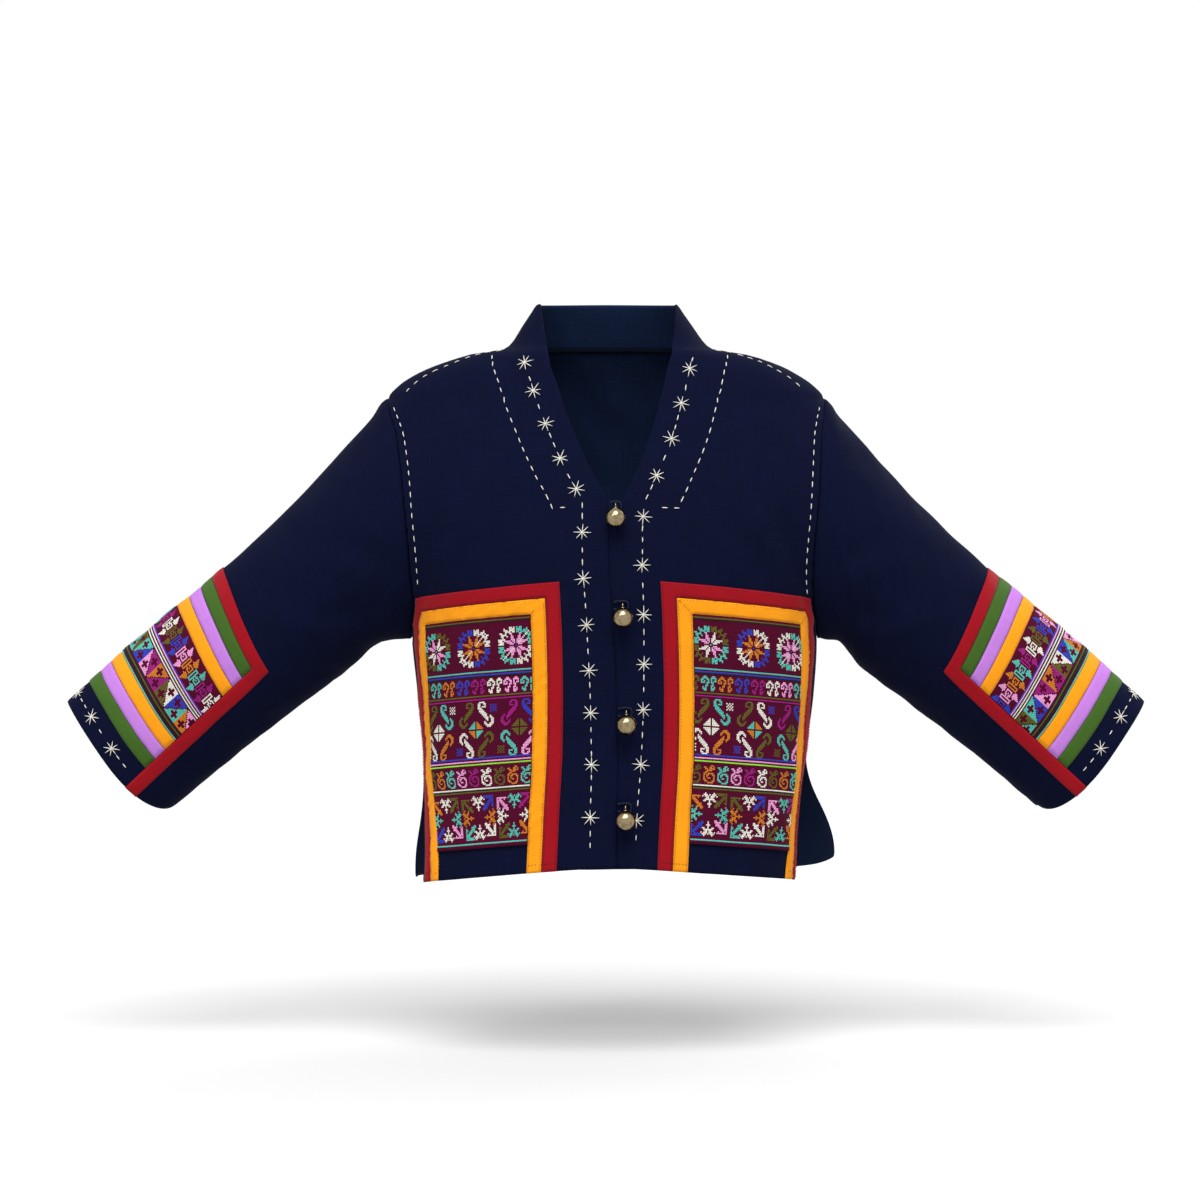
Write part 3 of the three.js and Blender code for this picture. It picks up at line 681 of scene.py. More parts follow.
def tint(tree, base, factor, gain):
    """base made lighter by factor, up to gain times."""
    made = tree.nodes.new("ShaderNodeMix")
    made.data_type = "RGBA"
    made.inputs[6].default_value = base
    made.inputs[7].default_value = (*[min(1.0, c * gain) for c in base[:3]], 1)
    tree.links.new(factor, made.inputs[0])
    return made.outputs[2]


def new_material(name):
    material = bpy.data.materials.new(name)
    material.use_nodes = True
    return material, material.node_tree


def finish_material(tree, base, rough, height, strength, distance, **same):
    """Links what varies to the shader, and sets what is the same all over on its own socket."""
    shader = tree.nodes["Principled BSDF"]
    tree.links.new(base, shader.inputs["Base Color"])
    bumped = node(tree, "ShaderNodeBump", Height=height, Strength=strength, Distance=distance)
    tree.links.new(bumped.outputs[0], shader.inputs["Normal"])
    tree.links.new(rough, shader.inputs["Roughness"])
    for name, value in same.items():
        shader.inputs[name.replace("_", " ")].default_value = value


def cloth_material(name, base, threads=900, slub=0.3, fade=1.35, sheen=0.04, gloss=0.1,
                   bump=0.25, worn=0.25):
    """Plain-woven cloth: crossing threads, uneven slubs, patchy fading and worn edges."""
    material, tree = new_material(name)
    uv = node(tree, "ShaderNodeUVMap").outputs[0]
    warp = noise(tree, uv, 1.0, (threads, threads / 26, 1), 2.0)
    weft = noise(tree, uv, 1.0, (threads / 26, threads, 1), 2.0)
    threads_cross = math_node(tree, "MAXIMUM", warp, weft)
    slubs = math_node(tree, "MAXIMUM", noise(tree, uv, 1.0, (520, 40, 1), 1.0),
                      noise(tree, uv, 1.0, (40, 520, 1), 1.0))
    patches = noise(tree, uv, 26.0, detail=5.0)
    light = math_node(tree, "MULTIPLY", ramp(tree, threads_cross, 0.45, 0.75), 0.45)
    light = math_node(tree, "ADD", light,
                      math_node(tree, "MULTIPLY", ramp(tree, slubs, 0.55, 0.78), slub))
    light = math_node(tree, "ADD", light,
                      math_node(tree, "MULTIPLY", ramp(tree, patches, 0.35, 0.75), 0.3))
    wear = node(tree, "ShaderNodeAttribute")
    wear.attribute_name = "wear"
    rub = math_node(tree, "MULTIPLY", wear.outputs["Fac"], ramp(tree, patches, 0.3, 0.7))
    light = math_node(tree, "ADD", light, math_node(tree, "MULTIPLY", rub, worn))
    clipped = math_node(tree, "MINIMUM", light, 1.0)
    height = math_node(tree, "ADD", threads_cross, math_node(tree, "MULTIPLY", slubs, 0.6))
    rough = ramp(tree, patches, 0.2, 0.8, 0.78, 0.95)
    finish_material(tree, tint(tree, base, clipped, fade), rough, height, bump, 0.0006,
                    Sheen_Weight=sheen, Sheen_Roughness=0.5, Specular_IOR_Level=gloss)
    return material


def thread_material(name, base):
    """Embroidery thread: fine strands with a soft gloss."""
    material, tree = new_material(name)
    place = node(tree, "ShaderNodeTexCoord").outputs["Object"]
    strands = noise(tree, place, 1.0, (700, 700, 2600), 2.0)
    patches = noise(tree, place, 60.0, detail=3.0)
    mixed = math_node(tree, "MULTIPLY", ramp(tree, strands, 0.3, 0.7), ramp(tree, patches, 0.2, 0.8))
    dark = (*[c * 0.72 for c in base[:3]], 1)
    finish_material(tree, tint(tree, dark, mixed, 1.75), ramp(tree, patches, 0.2, 0.8, 0.5, 0.7),
                    strands, 0.3, 0.0004, Sheen_Weight=0.02, Specular_IOR_Level=0.15)
    return material


def metal_material():
    """Pale polished brass with fine scratches and slightly tarnished patches."""
    material, tree = new_material("button_metal")
    place = node(tree, "ShaderNodeTexCoord").outputs["Object"]
    tarnish = noise(tree, place, 240.0, detail=5.0)
    scratches = noise(tree, place, 1.0, (300, 300, 3500), 3.0)
    brass = tint(tree, colour(118, 106, 80), ramp(tree, tarnish, 0.3, 0.65), 1.9)
    rough = math_node(tree, "ADD", ramp(tree, tarnish, 0.3, 0.8, 0.2, 0.1),
                      ramp(tree, scratches, 0.4, 0.8, 0.0, 0.08))
    finish_material(tree, brass, rough, scratches, 0.05, 0.0002, Metallic=1.0)
    return material


NAVY = cloth_material("navy_cloth", colour(5, 8, 28), fade=1.9, slub=0.2, sheen=0.006, gloss=0.03)
# The inside faces: the navy's reverse with its own teal tint, and also painted lighter as painted
# light against the shade inside the jacket.
INNER_NAVY_PAINTED_LIGHT = cloth_material("inner_navy_painted_light", colour(13, 24, 46), fade=1.7, slub=0.4, sheen=0.008,
                            gloss=0.03)
RED = cloth_material("red_cloth", colour(122, 3, 16), fade=1.25)
YELLOW = cloth_material("yellow_cloth", colour(202, 126, 12), fade=1.15)
GREEN = cloth_material("green_cloth", colour(47, 76, 22), fade=1.25)
LILAC = cloth_material("lilac_cloth", colour(152, 98, 172), fade=1.18)
MAROON = cloth_material("maroon_cloth", colour(58, 2, 26), threads=700, slub=0.6, fade=1.5,
                        sheen=0.02, gloss=0.05)
METAL = metal_material()
CORD = thread_material("cord", colour(16, 19, 40))
DARK_THREAD = thread_material("dark_thread", colour(40, 14, 22))
TAPE = cloth_material("seam_tape", colour(4, 6, 16), fade=1.8, sheen=0.006, gloss=0.03)
THREADS = {
    letter: thread_material(f"{name}_thread", colour(*rgb)) for letter, name, rgb in (
        ("w", "white", (206, 204, 194)), ("t", "teal", (70, 172, 158)),
        ("b", "blue", (28, 54, 166)), ("o", "olive", (84, 80, 16)),
        ("g", "orange", (184, 108, 22)), ("p", "pink", (212, 142, 190)),
        ("m", "magenta", (138, 14, 110)), ("l", "lime", (128, 206, 46)),
        ("k", "black", (18, 10, 16)), ("r", "maroon", (84, 6, 42)),
    )
}

# ---------- Cloth pieces ----------
FRONTS = {"right": dress_front("right", 3), "left": dress_front("left", 7)}
BACK = dress_back()
STAND = back_surface(NECK_ROW, len(FRONT_ROWS), stand=True)
SLEEVES = {"right": dress_sleeve("right", 11), "left": dress_sleeve("left", 15)}


def clothe(name, surface, material, node_name):
    # The inner faces take the inside navy, which is painted lighter against the shade inside.
    piece = shell(name, surface, everywhere, -CLOTH, 0, [material, INNER_NAVY_PAINTED_LIGHT])
    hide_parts(node_name)


clothe("back_cloth", BACK, NAVY, "back")
clothe("collar_cloth", STAND, NAVY, "collar_stand")
for side in SIGN:
    clothe(f"front_cloth_{side}", FRONTS[side], NAVY, f"front_{side}")
    clothe(f"sleeve_cloth_{side}", SLEEVES[side], NAVY, f"sleeve_{side}")

# ---------- Strips and panels ----------
LOW, HIGH = 0.3, 0.3 + TRIM
RED_IN, YELLOW_IN, PANEL_IN, PANEL_OUT, YELLOW_OUT, RED_OUT = 2, 3, 4, 7, 8, 9


def row_at(v):
    return FRONT_ROWS.index(v)


def nested(top, inner_top, left, right, inner_left, inner_right):
    """Cells of an upside-down U: all below top but those below inner_top and inside."""
    def covers(row, column):
        inside = row < row_at(inner_top) and inner_left <= column < inner_right
        return row < row_at(top) and left <= column < right and not inside
    return covers


def curl_up(v):
    """How far the embroidered panel's free lower edge stands off the cloth."""
    return 1.5 * np.exp(-(((v - PANEL_FOOT) / 6) ** 2))


def laid(name, surface, covers, material, node_name, seed, crumple=0.3,
         strip=False):
    """A strip or panel sewn on, crumpled a little by its stitches."""
    u, v = surface.u, surface.v[:, None]
    uneven = crumple * (0.7 * ripple(u + 0.7 * v, v, 15, 28, seed)
                        + 0.5 * ripple(u, v, 34, 60, seed + 50))
    free = 0 if strip else curl_up(v) + 0 * u
    piece = shell(name, surface, covers, LOW + free, HIGH + free + np.maximum(uneven, -0.6),
                  [material])
    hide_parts(node_name)


RED_FRAME = nested(PANEL_TOP, PANEL_TOP - STRIP, RED_IN, RED_OUT, YELLOW_IN, YELLOW_OUT)
YELLOW_FRAME = nested(PANEL_TOP - STRIP, PANEL_TOP - 2 * STRIP, YELLOW_IN, YELLOW_OUT,
                      PANEL_IN, PANEL_OUT)


def brocade_cells(row, column):
    in_rows = row_at(PANEL_FOOT) <= row < row_at(PANEL_TOP - 2 * STRIP)
    return in_rows and PANEL_IN <= column < PANEL_OUT


SLEEVE_STRIPS = [
    ("green_upper", GREEN, "green_cloth", 1), ("lilac_upper", LILAC, "lilac_cloth", 1),
    ("yellow_upper", YELLOW, "yellow_cloth", 1), ("panel", MAROON, "embroidery", 2),
    ("yellow_lower", YELLOW, "yellow_cloth", 1), ("lilac_lower", LILAC, "lilac_cloth", 1),
    ("green_lower", GREEN, "green_cloth", 1),
]


def near_fold(column, reach):
    return column < reach or column >= 2 * RING_HALF - reach


def sleeve_frame(row, column):
    return (row >= PANEL_RING and near_fold(column, PANEL_COLUMNS + 1)
            and (row == PANEL_RING or not near_fold(column, PANEL_COLUMNS)))


def strip_cells(first, last):
    def covers(row, column):
        return first <= row < last and near_fold(column, PANEL_COLUMNS)
    return covers


for n, side in enumerate(SIGN):
    front, under = FRONTS[side], f"front_cloth_{side}"
    laid(f"front_red_{side}", front, RED_FRAME, RED, f"front_border_{side}",
         30 + n, strip=True)
    laid(f"front_yellow_{side}", front, YELLOW_FRAME, YELLOW, f"front_strip_{side}",
         40 + n, 0.8, strip=True)
    laid(f"front_brocade_{side}", front, brocade_cells, MAROON, f"front_panel_{side}",
         50 + n, 0.15)
    sleeve, under = SLEEVES[side], f"sleeve_cloth_{side}"
    laid(f"sleeve_red_{side}", sleeve, sleeve_frame, RED, f"sleeve_border_{side}",
         60 + n, strip=True)
    ring = PANEL_RING + 1
    for k, (name, material, slot, rings) in enumerate(SLEEVE_STRIPS):
        laid(f"sleeve_{name}_sewn_{side}", sleeve, strip_cells(ring, ring + rings), material,
             f"sleeve_{name}_{side}", 70 + 10 * n + k)
        ring += rings


# ---------- Embroidery charts ----------
# In a motif, a # is a stitch and a dot is bare cloth. A letter elsewhere is a thread.
HOOKS = """
..##....##.
.####..####
##..##.#..#
#.#..#.#.##
###.##.##..
....#...#..
...##..##..
.#.#...#.#.
.###...###.
..##...##..
"""
CURL = """
..####......
.##..##.....
.##...#.....
.##.###.....
.###........
..###.......
..####......
...####.....
....####....
.....###..#.
......###.##
.......##..##
........#..##
......#....##
......##..###
.......#####.
........###..
"""
LEAF = """
......##..
.##..##.#.
..##.####.
...####...
..##......
.##.####..
.#.##..##.
.#.#....#.
.#..##..#.
.##.....#.
..##...##.
....####..
"""
CROWN = """
..#.....#..
.###.#.###.
#.###.###.#
...##.##...
..#######..
.##..#..##.
.....#.....
....###....
.....#.....
.....#.....
"""
ARROW = """
..########.
...#####.#.
.......###.
......####.
.....###.#.
..#.###..#.
..####..##.
..###....#.
.####......
.##........
"""
LINKS = """
...#.....
..##.....
.###.....
####.....
#####....
.###..###
......#.#
.####.#.#
.#..###.#
.#.#..#.#
.#..###.#
.####.#.#
......#.#
.###..###
#####....
####.....
.###.....
..##.....
...#.....
"""


class Chart:
    """Stitches by column across and row down."""

    def __init__(self, columns, rows):
        self.columns, self.rows, self.grid = columns, rows, {}

    def put(self, x, y, thread):
        if 0 <= x < self.columns and 0 <= y < self.rows:
            self.grid[x, y] = thread

    def line(self, y, thread):
        for x in range(self.columns):
            self.put(x, y, thread)

    def stamp(self, motif, x, y, thread, turn=(1, 0, 0, 1)):
        """Puts a motif with its top left at x, y from a centre, turned by a 2 x 2 table."""
        for j, line in enumerate(motif.split()):
            for i, mark in enumerate(line):
                if mark == "#":
                    a, b, c, d = turn
                    self.put(x + a * i + b * j, y + c * i + d * j, thread)


def big_star(chart, cx, cy, petals, ring, ray):
    """An eight-petalled star inside a serrated ring in two colours by quarters."""
    for x in range(-14, 15):
        for y in range(-14, 15):
            quarter = ring[(x > 0) != (y > 0)]
            far, angle = math.hypot(x, y), math.atan2(y, x)
            tooth = abs((angle * 10 / math.pi) % 1 - 0.5) * 4 - 1
            if 9.4 + 1.1 * tooth <= far <= 12.3 + 1.4 * tooth and x and y:
                chart.put(cx + x, cy + y, quarter)
    for sx in (-1, 1):
        for sy in (-1, 1):
            for y in range(1, 4):
                for x in range(y + 1, 2 * y + 3):
                    chart.put(cx + sx * x, cy + sy * y, petals[sx != sy])
                    chart.put(cx + sx * y, cy + sy * x, petals[sx != sy])
    for k in range(-9, 10):
        if ray and abs(k) > 1:
            chart.put(cx + k, cy - k, ray)
    chart.put(cx, cy, "b" if ray else "t")


def hatched(chart, cx, cy, reach, threads, diamond=False):
    """A checked square, or a solid diamond split by a bare cross, in two colours."""
    for x in range(-reach, reach + 1):
        for y in range(-reach, reach + 1):
            if diamond and (abs(x) + abs(y) > reach or x == 0 or y == 0):
                continue
            if diamond or (x + y) % 2 == 0:
                chart.put(cx + x, cy + y, threads[(x > 0) != (y > 0)])


def pinwheel(chart, cx, cy, corners, centre, square):
    """Four curls round a diamond; corners go above left and right, then below left and right."""
    for (sx, sy), thread in zip(((-1, -1), (1, -1), (-1, 1), (1, 1)), corners):
        chart.stamp(CURL, cx + sx, cy + sy * 18, thread, (sx, 0, 0, -sy))
    hatched(chart, cx, cy, 6, centre, diamond=True)
    hatched(chart, cx + 13, cy - 14, 2, square * 2)
    hatched(chart, cx - 13, cy + 14, 2, square * 2)


def arms(chart, cx, cy, straight, slanted):
    """Crowned arms up, right, down and left, and arrows between them."""
    turns = [(1, 0, 0, 1), (0, -1, 1, 0), (-1, 0, 0, -1), (0, 1, -1, 0)]
    for turn, crown, arrow in zip(turns, straight, slanted):
        a, b, c, d = turn
        chart.stamp(CROWN, cx - 5 * a - 14 * b, cy - 5 * c - 14 * d, crown, turn)
        chart.stamp(ARROW, cx + 3 * a - 14 * b, cy + 3 * c - 14 * d, arrow, turn)


def front_chart():
    chart = Chart(84, 151)
    for y, thread in ((1, "o"), (2, "k"), (35, "t"), (37, "b"), (38, "k"), (51, "o"), (53, "m"),
                      (92, "b"), (94, "p"), (96, "l"), (112, "w"), (113, "k"),
                      (114, "o"), (148, "t")):
        chart.line(y, thread)
    stars = [("pw", "to", ""), ("gg", "bw", "w"), ("pp", "wt", "w")]
    wheels = [("otwg", "ww", "w"), ("owwo", "tg", "b"), ("mbtp", "oo", "o")]
    crosses = [("wtwt", "opbg"), ("wgwg", "bwto"), ("twtw", "mgop")]
    for k in range(3):
        big_star(chart, 11 + 31 * k, 19, *stars[k])
        pinwheel(chart, 11 + 32 * k, 73, *wheels[k])
        arms(chart, 12 + 30 * k, 131, *crosses[k])
    for k, thread in enumerate("otgbmwpto"):
        chart.stamp(HOOKS, 12 * k - 8, 40, thread)
    for k, thread in enumerate("ogtpmwogt"):
        chart.stamp(LEAF, 10 * k - 4, 99, thread)
    return chart


def in_cross(x, y, cx, cy):
    """Whether a stitch is in a small upright cross."""
    near, far = sorted((abs(x - cx), abs(y - cy)))
    return near <= 0.5 and far <= 2.5


def sleeve_chart():
    chart = Chart(173, 49)
    for y, thread in ((20, "b"), (21, "p"), (22, "k"), (23, "w"), (24, "k"), (25, "w"),
                      (43, "k"), (44, "o"), (45, "k"), (46, "k"), (48, "t")):
        chart.line(y, thread)
    for k in range(20):
        chart.stamp(LINKS, 9 * k - 2, 1, "wmtgpbo"[k % 7])
    squares = ["gp", "tb", "ow", "mg", "pm", "bt", "to", "mw"]
    for k in range(15):
        low, high = squares[k % 8]
        rising = k % 2 == 0
        centres = [(7.5, 10.5), (3.5, 3.5)] if rising else [(3.5, 10.5), (7.5, 3.5)]
        for x in range(12):
            for y in range(15):
                across = x if rising else 11 - x
                split = across / 11.5 - (14 - y) / 14.5
                crossed = any(in_cross(x, y, *centre) for centre in centres)
                if not crossed and abs(split) > 0.04:
                    chart.put(12 * k + x - 3, 27 + y, low if split > 0 else high)
    return chart


STITCH_LIFT, STITCH_RISE, STITCH_GAP = 0.2, 0.45, 0.04


def embroider(name, surface, chart, spot, flip, ground):
    """Each stitch is a small raised pyramid on the cloth; spot gives its grid position."""
    threads = sorted(set(chart.grid.values()))
    pick = np.random.default_rng(len(chart.grid))
    cells = sorted(chart.grid)
    corner = np.array([(0, 0), (1, 0), (1, 1), (0, 1)]) * (1 - 2 * STITCH_GAP) + STITCH_GAP
    x = np.array([c[0] for c in cells])[:, None] + np.append(corner[:, 0], 0.5)
    y = np.array([c[1] for c in cells])[:, None] + np.append(corner[:, 1], 0.5)
    if flip:
        x = chart.columns - x
    row, column = spot(x / chart.columns, y / chart.rows)
    height = np.interp(row, np.arange(len(surface.v)), surface.v)
    lift = ground + STITCH_LIFT + curl_up(height)
    lift[:, 4] += STITCH_RISE * pick.uniform(0.7, 1.15, len(cells))
    points, normals = surface.at(row, column, lift)
    edge = np.cross(points[0, 1] - points[0, 0], points[0, 3] - points[0, 0]) @ normals[0, 0]
    faces, index = [], []
    for n, cell in enumerate(cells):
        for e in range(4):
            a, b = 5 * n + e, 5 * n + (e + 1) % 4
            faces.append((a, b, 5 * n + 4) if edge > 0 else (b, a, 5 * n + 4))
            index.append(threads.index(chart.grid[cell]))
    piece = make(name, points.reshape(-1, 3), faces, [THREADS[t] for t in threads],
                 flat=range(len(faces)), index=index)


def front_spot(surface):
    left = int(np.argmax(surface.column_of == PANEL_IN))
    right = int(np.argmax(surface.column_of == PANEL_OUT))
    order = np.arange(len(surface.v))

    def spot(x, y):
        v = mix(PANEL_TOP - 2 * STRIP - 0.5, PANEL_FOOT + 1, y)
        return np.interp(v, surface.v, order), mix(left + 0.15, right - 0.15, x)
    return spot


def sleeve_spot(surface):
    reach = PANEL_COLUMNS * RING_FINE
    start = RINGS[PANEL_RING + 4]
    order = np.arange(len(surface.v))

    def spot(x, y):
        return np.interp(start + 0.3 + SLEEVE_BROCADE * 0.99 * y, surface.v, order), \
            mix(-reach + 0.1, reach - 0.1, x)
    return spot


for side in SIGN:
    embroider(f"front_stitches_{side}", FRONTS[side], front_chart(), front_spot(FRONTS[side]),
              side == "right", HIGH)
    embroider(f"sleeve_stitches_{side}", SLEEVES[side], sleeve_chart(),
              sleeve_spot(SLEEVES[side]), side == "right", HIGH)

# ---------- White hand stitches ----------
DASH, DASH_GAP, STROKE, STAR = 5.6, 5.2, 0.52, 8.4


class Strokes:
    """Gathers short raised thread strokes into one piece."""

    def __init__(self, seed):
        self.vertices, self.faces, self.pick = [], [], np.random.default_rng(seed)

    def stroke(self, middle, along, normal, half, width=STROKE):
        across = np.cross(normal, along)
        start = len(self.vertices)
        thick = width >= STROKE * 0.9
        stations = ([(-1, 0.35), (-0.6, 0.9), (0, 1), (0.6, 0.9), (1, 0.35)] if thick
                    else [(-1, 0.4), (0, 1), (1, 0.4)])
        sides = 6 if thick else 4
        for t, wide in stations:
            bend = 0.6 * width * (1 - t * t)
            for k in range(sides):
                a = k * 2 * math.pi / sides
                self.vertices.append(middle + along * half * t + across * width * wide * math.cos(a)
                                     + normal * (width * wide * math.sin(a) * 0.8 + bend))
        for s in range(len(stations) - 1):
            for k in range(sides):
                a, b = start + sides * s + k, start + sides * s + (k + 1) % sides
                self.faces.append((a, b, b + sides, a + sides))
        end = start + sides * (len(stations) - 1)
        self.faces += [tuple(range(start + sides - 1, start - 1, -1)),
                       tuple(range(end, end + sides))]

    def star(self, middle, along, normal):
        across = np.cross(normal, along)
        for k in range(4):
            a = k * math.pi / 4 + self.pick.uniform(-0.08, 0.08)
            way = along * math.cos(a) + across * math.sin(a)
            self.stroke(middle + normal * 0.25 * k + way * self.pick.uniform(-0.6, 0.6), way, normal,
                        STAR * self.pick.uniform(0.86, 1.06), STROKE * 0.9)

    def piece(self, name, thread):
        made = make(name, self.vertices, self.faces, [thread])


def track(surface, spots, lift):
    """Evenly spaced points, directions and normals along a path of (u, v) on the cloth."""
    found = np.array([surface.find(u, v) for u, v in spots])
    t = np.arange(0, len(found) - 1 + 1e-9, 1 / 40)
    row, column = [np.interp(t, np.arange(len(found)), found[:, k]) for k in (0, 1)]
    points, normals = surface.at(row, column, np.full(len(t), lift))
    run = walked(points)
    reached = run[::40]

    def place(s):
        here, ahead = [np.array([np.interp(q, run, points[:, k]) for k in range(3)])
                       for q in (s - 0.5, s + 0.5)]
        normal = np.array([np.interp(s, run, normals[:, k]) for k in range(3)])
        along = (ahead - here) / max(np.linalg.norm(ahead - here), 1e-9)
        along -= normal * (along @ normal)
        return (here + ahead) / 2, along / np.linalg.norm(along), normal / np.linalg.norm(normal)
    return place, reached


def running(strokes, surface, spots, lift=0.5, stars=(), dash=DASH, gap=DASH_GAP, width=STROKE):
    """Dashes along a path, with star stitches at some of its spots, by number."""
    place, reached = track(surface, spots, lift)
    length, stars = reached[-1], np.interp(stars, np.arange(len(reached)), reached)
    s = dash
    while s < length - dash / 2:
        if all(abs(s - q) > STAR + 2 for q in stars):
            middle, along, normal = place(s)
            strokes.stroke(middle, along, normal, dash / 2 * strokes.pick.uniform(0.85, 1.15), width)
        s += dash + gap * strokes.pick.uniform(0.85, 1.2)
    for q in stars:
        strokes.star(*place(q))


STAR_LINE = {"right": 25, "left": 22}  # from the front's edge
LEFT_STAR_FROM, LEFT_STAR_TO = 31, 24  # from the centre, below the neck opening
FACING, FACING_FOOT = 57, -158
NECK_TURN = -150
STAR_HEIGHTS = {
    "right": [-16, -44, -77, -111, -141, -182, -226, -271, -315, -356, -406, -457],
    "left": [-22, -57, -92, -128, -167, -213, -261, -309, -353, -406, -460],
}
SHOULDER_IN, ARMHOLE_IN, ARMHOLE_FOOT = 42, 9, -228


def star_line_u(side, surface, v):
    u = surface.u_at(v, 0) + STAR_LINE[side]
    if side == "left":
        low = mix(LEFT_STAR_FROM, LEFT_STAR_TO, clamp((NECK_TURN - v) / 300))
        u = max(u, low)
    return u


def beside(surface, column, shift, heights):
    """A path at a shift across from one of the grid's columns."""
    return [(surface.u_at(v, column) + shift, v) for v in heights]


for side in SIGN:
    front, sleeve = FRONTS[side], SLEEVES[side]
    strokes = Strokes(5 if side == "right" else 6)
    heights = np.arange(-8, CENTRE_HEM + 12, -8)
    line = [(star_line_u(side, front, v), v) for v in heights]
    running(strokes, front, line, stars=[(heights[0] - v) / 8 for v in STAR_HEIGHTS[side]])
    facing = beside(front, 0, FACING, np.arange(-6, FACING_FOOT, -8))
    foot = star_line_u(side, front, FACING_FOOT)
    facing += [(mix(facing[-1][0], foot, t), FACING_FOOT) for t in (0.12, 0.5, 0.75)]
    running(strokes, front, facing)
    heights = np.arange(SHOULDER_TIP - 10, ARMHOLE_FOOT, -8)
    running(strokes, front, beside(front, -1, -ARMHOLE_IN, heights))
    heights = np.arange(NECK_POINT - 3, SHOULDER_TIP, -3)
    running(strokes, front, beside(front, -1, -SHOULDER_IN, heights))
    end, way = (0, 1) if side == "right" else (-1, -1)
    heights = np.arange(SHOULDER_TIP - 10, ARMPIT + 14, -8)
    running(strokes, BACK, beside(BACK, end, way * ARMHOLE_IN, heights))
    cuff_v = SLEEVE_LENGTH - CUFF_BAND / 2
    for turn, stars in ((1, [2.3, 8.6, 15.1]), (-1, [4, 10.3, 16.8])):
        running(strokes, sleeve, [(turn * u, cuff_v) for u in np.arange(2, 129, 6)], stars=stars)
    strokes.piece(f"white_stitches_{side}", THREADS["w"])

# ---------- Buttons and loops ----------
ROUND = 48
BALL_STEPS, SEAM_DEPTH, SEAM_WIDTH = 40, 0.28, 0.045


def lathe(profile):
    """Rings of points round the Z axis from (radius, height) pairs."""
    points, faces = [], []
    for r, z in profile:
        points += [(r * math.cos(2 * math.pi * k / ROUND), r * math.sin(2 * math.pi * k / ROUND), z)
                   for k in range(ROUND)]
    for s in range(len(profile) - 1):
        for k in range(ROUND):
            a, b = s * ROUND + k, s * ROUND + (k + 1) % ROUND
            faces.append((a, b, b + ROUND, a + ROUND))
    last = (len(profile) - 1) * ROUND
    faces += [tuple(range(ROUND - 1, -1, -1)), tuple(range(last, last + ROUND))]
    return np.array(points), faces


def tube(path, radius, sides=10, closed=False):
    """A round tube along a path of points."""
    path = np.array(path, float)
    ahead = np.roll(path, -1, 0) - np.roll(path, 1, 0) if closed else np.gradient(path, axis=0)
    ahead /= np.linalg.norm(ahead, axis=1, keepdims=True)
    lead = np.cross(ahead, [0, 1, 0.01])
    lead /= np.linalg.norm(lead, axis=1, keepdims=True)
    other = np.cross(ahead, lead)
    points = []
    for p, a, b in zip(path, lead, other):
        points += [p + radius * (a * math.cos(t) + b * math.sin(t))
                   for t in np.arange(sides) * 2 * math.pi / sides]
    faces, count = [], len(path)
    for s in range(count if closed else count - 1):
        for k in range(sides):
            a, b = s * sides + k, s * sides + (k + 1) % sides
            c, d = (b + sides) % (count * sides), (a + sides) % (count * sides)
            faces.append((a, b, c, d))
    if not closed:
        last = (count - 1) * sides
        faces += [tuple(range(sides - 1, -1, -1)), tuple(range(last, last + sides))]
    return np.array(points), faces


def join_up(parts):
    points, faces = [], []
    for p, f in parts:
        faces += [tuple(q + len(points) for q in face) for face in f]
        points += [tuple(q) for q in p]
    return np.array(points), faces


def ball_profile():
    """A pressed ball in two halves: a fine seam round its middle and a small neck on top."""
    profile = []
    for k in range(1, BALL_STEPS - 3):
        a = math.pi * k / BALL_STEPS
        seam = SEAM_DEPTH * math.exp(-(((a - math.pi / 2) / SEAM_WIDTH) ** 2))
        profile.append(((BALL - seam) * math.sin(a), -(BALL - seam) * math.cos(a)))
    return profile + [(2.6, 9.55), (2.3, 9.9), (2.2, 10.2), (0.6, 10.35)]


def catmull(corners, t):
    """A point on a smooth curve through the corners."""
    i = min(int(t), len(corners) - 2)
    s = t - i
    a, b, c, d = [np.array(corners[min(max(k, 0), len(corners) - 1)], float)
                  for k in (i - 1, i, i + 1, i + 2)]
    return b + s * ((c - a) / 2 + s * (a - 2.5 * b + 2 * c - d / 2
                                       + s * (1.5 * b - 1.5 * c + (d - a) / 2)))


BALL_OUT, SHANK_UP, SHANK_RING, WIRE = BALL + 4.2, BALL + 1.6, 2.6, 0.62
LOOP_OUT, LOOP_REACH, LOOP_HALF = 2.0, 5.5, 4.4
LOOP_START = 1.7  # the loop's ends are this far from the right front's edge
STRAND, STRAND_OUT, TWIST = 0.62, 0.48, 5.2

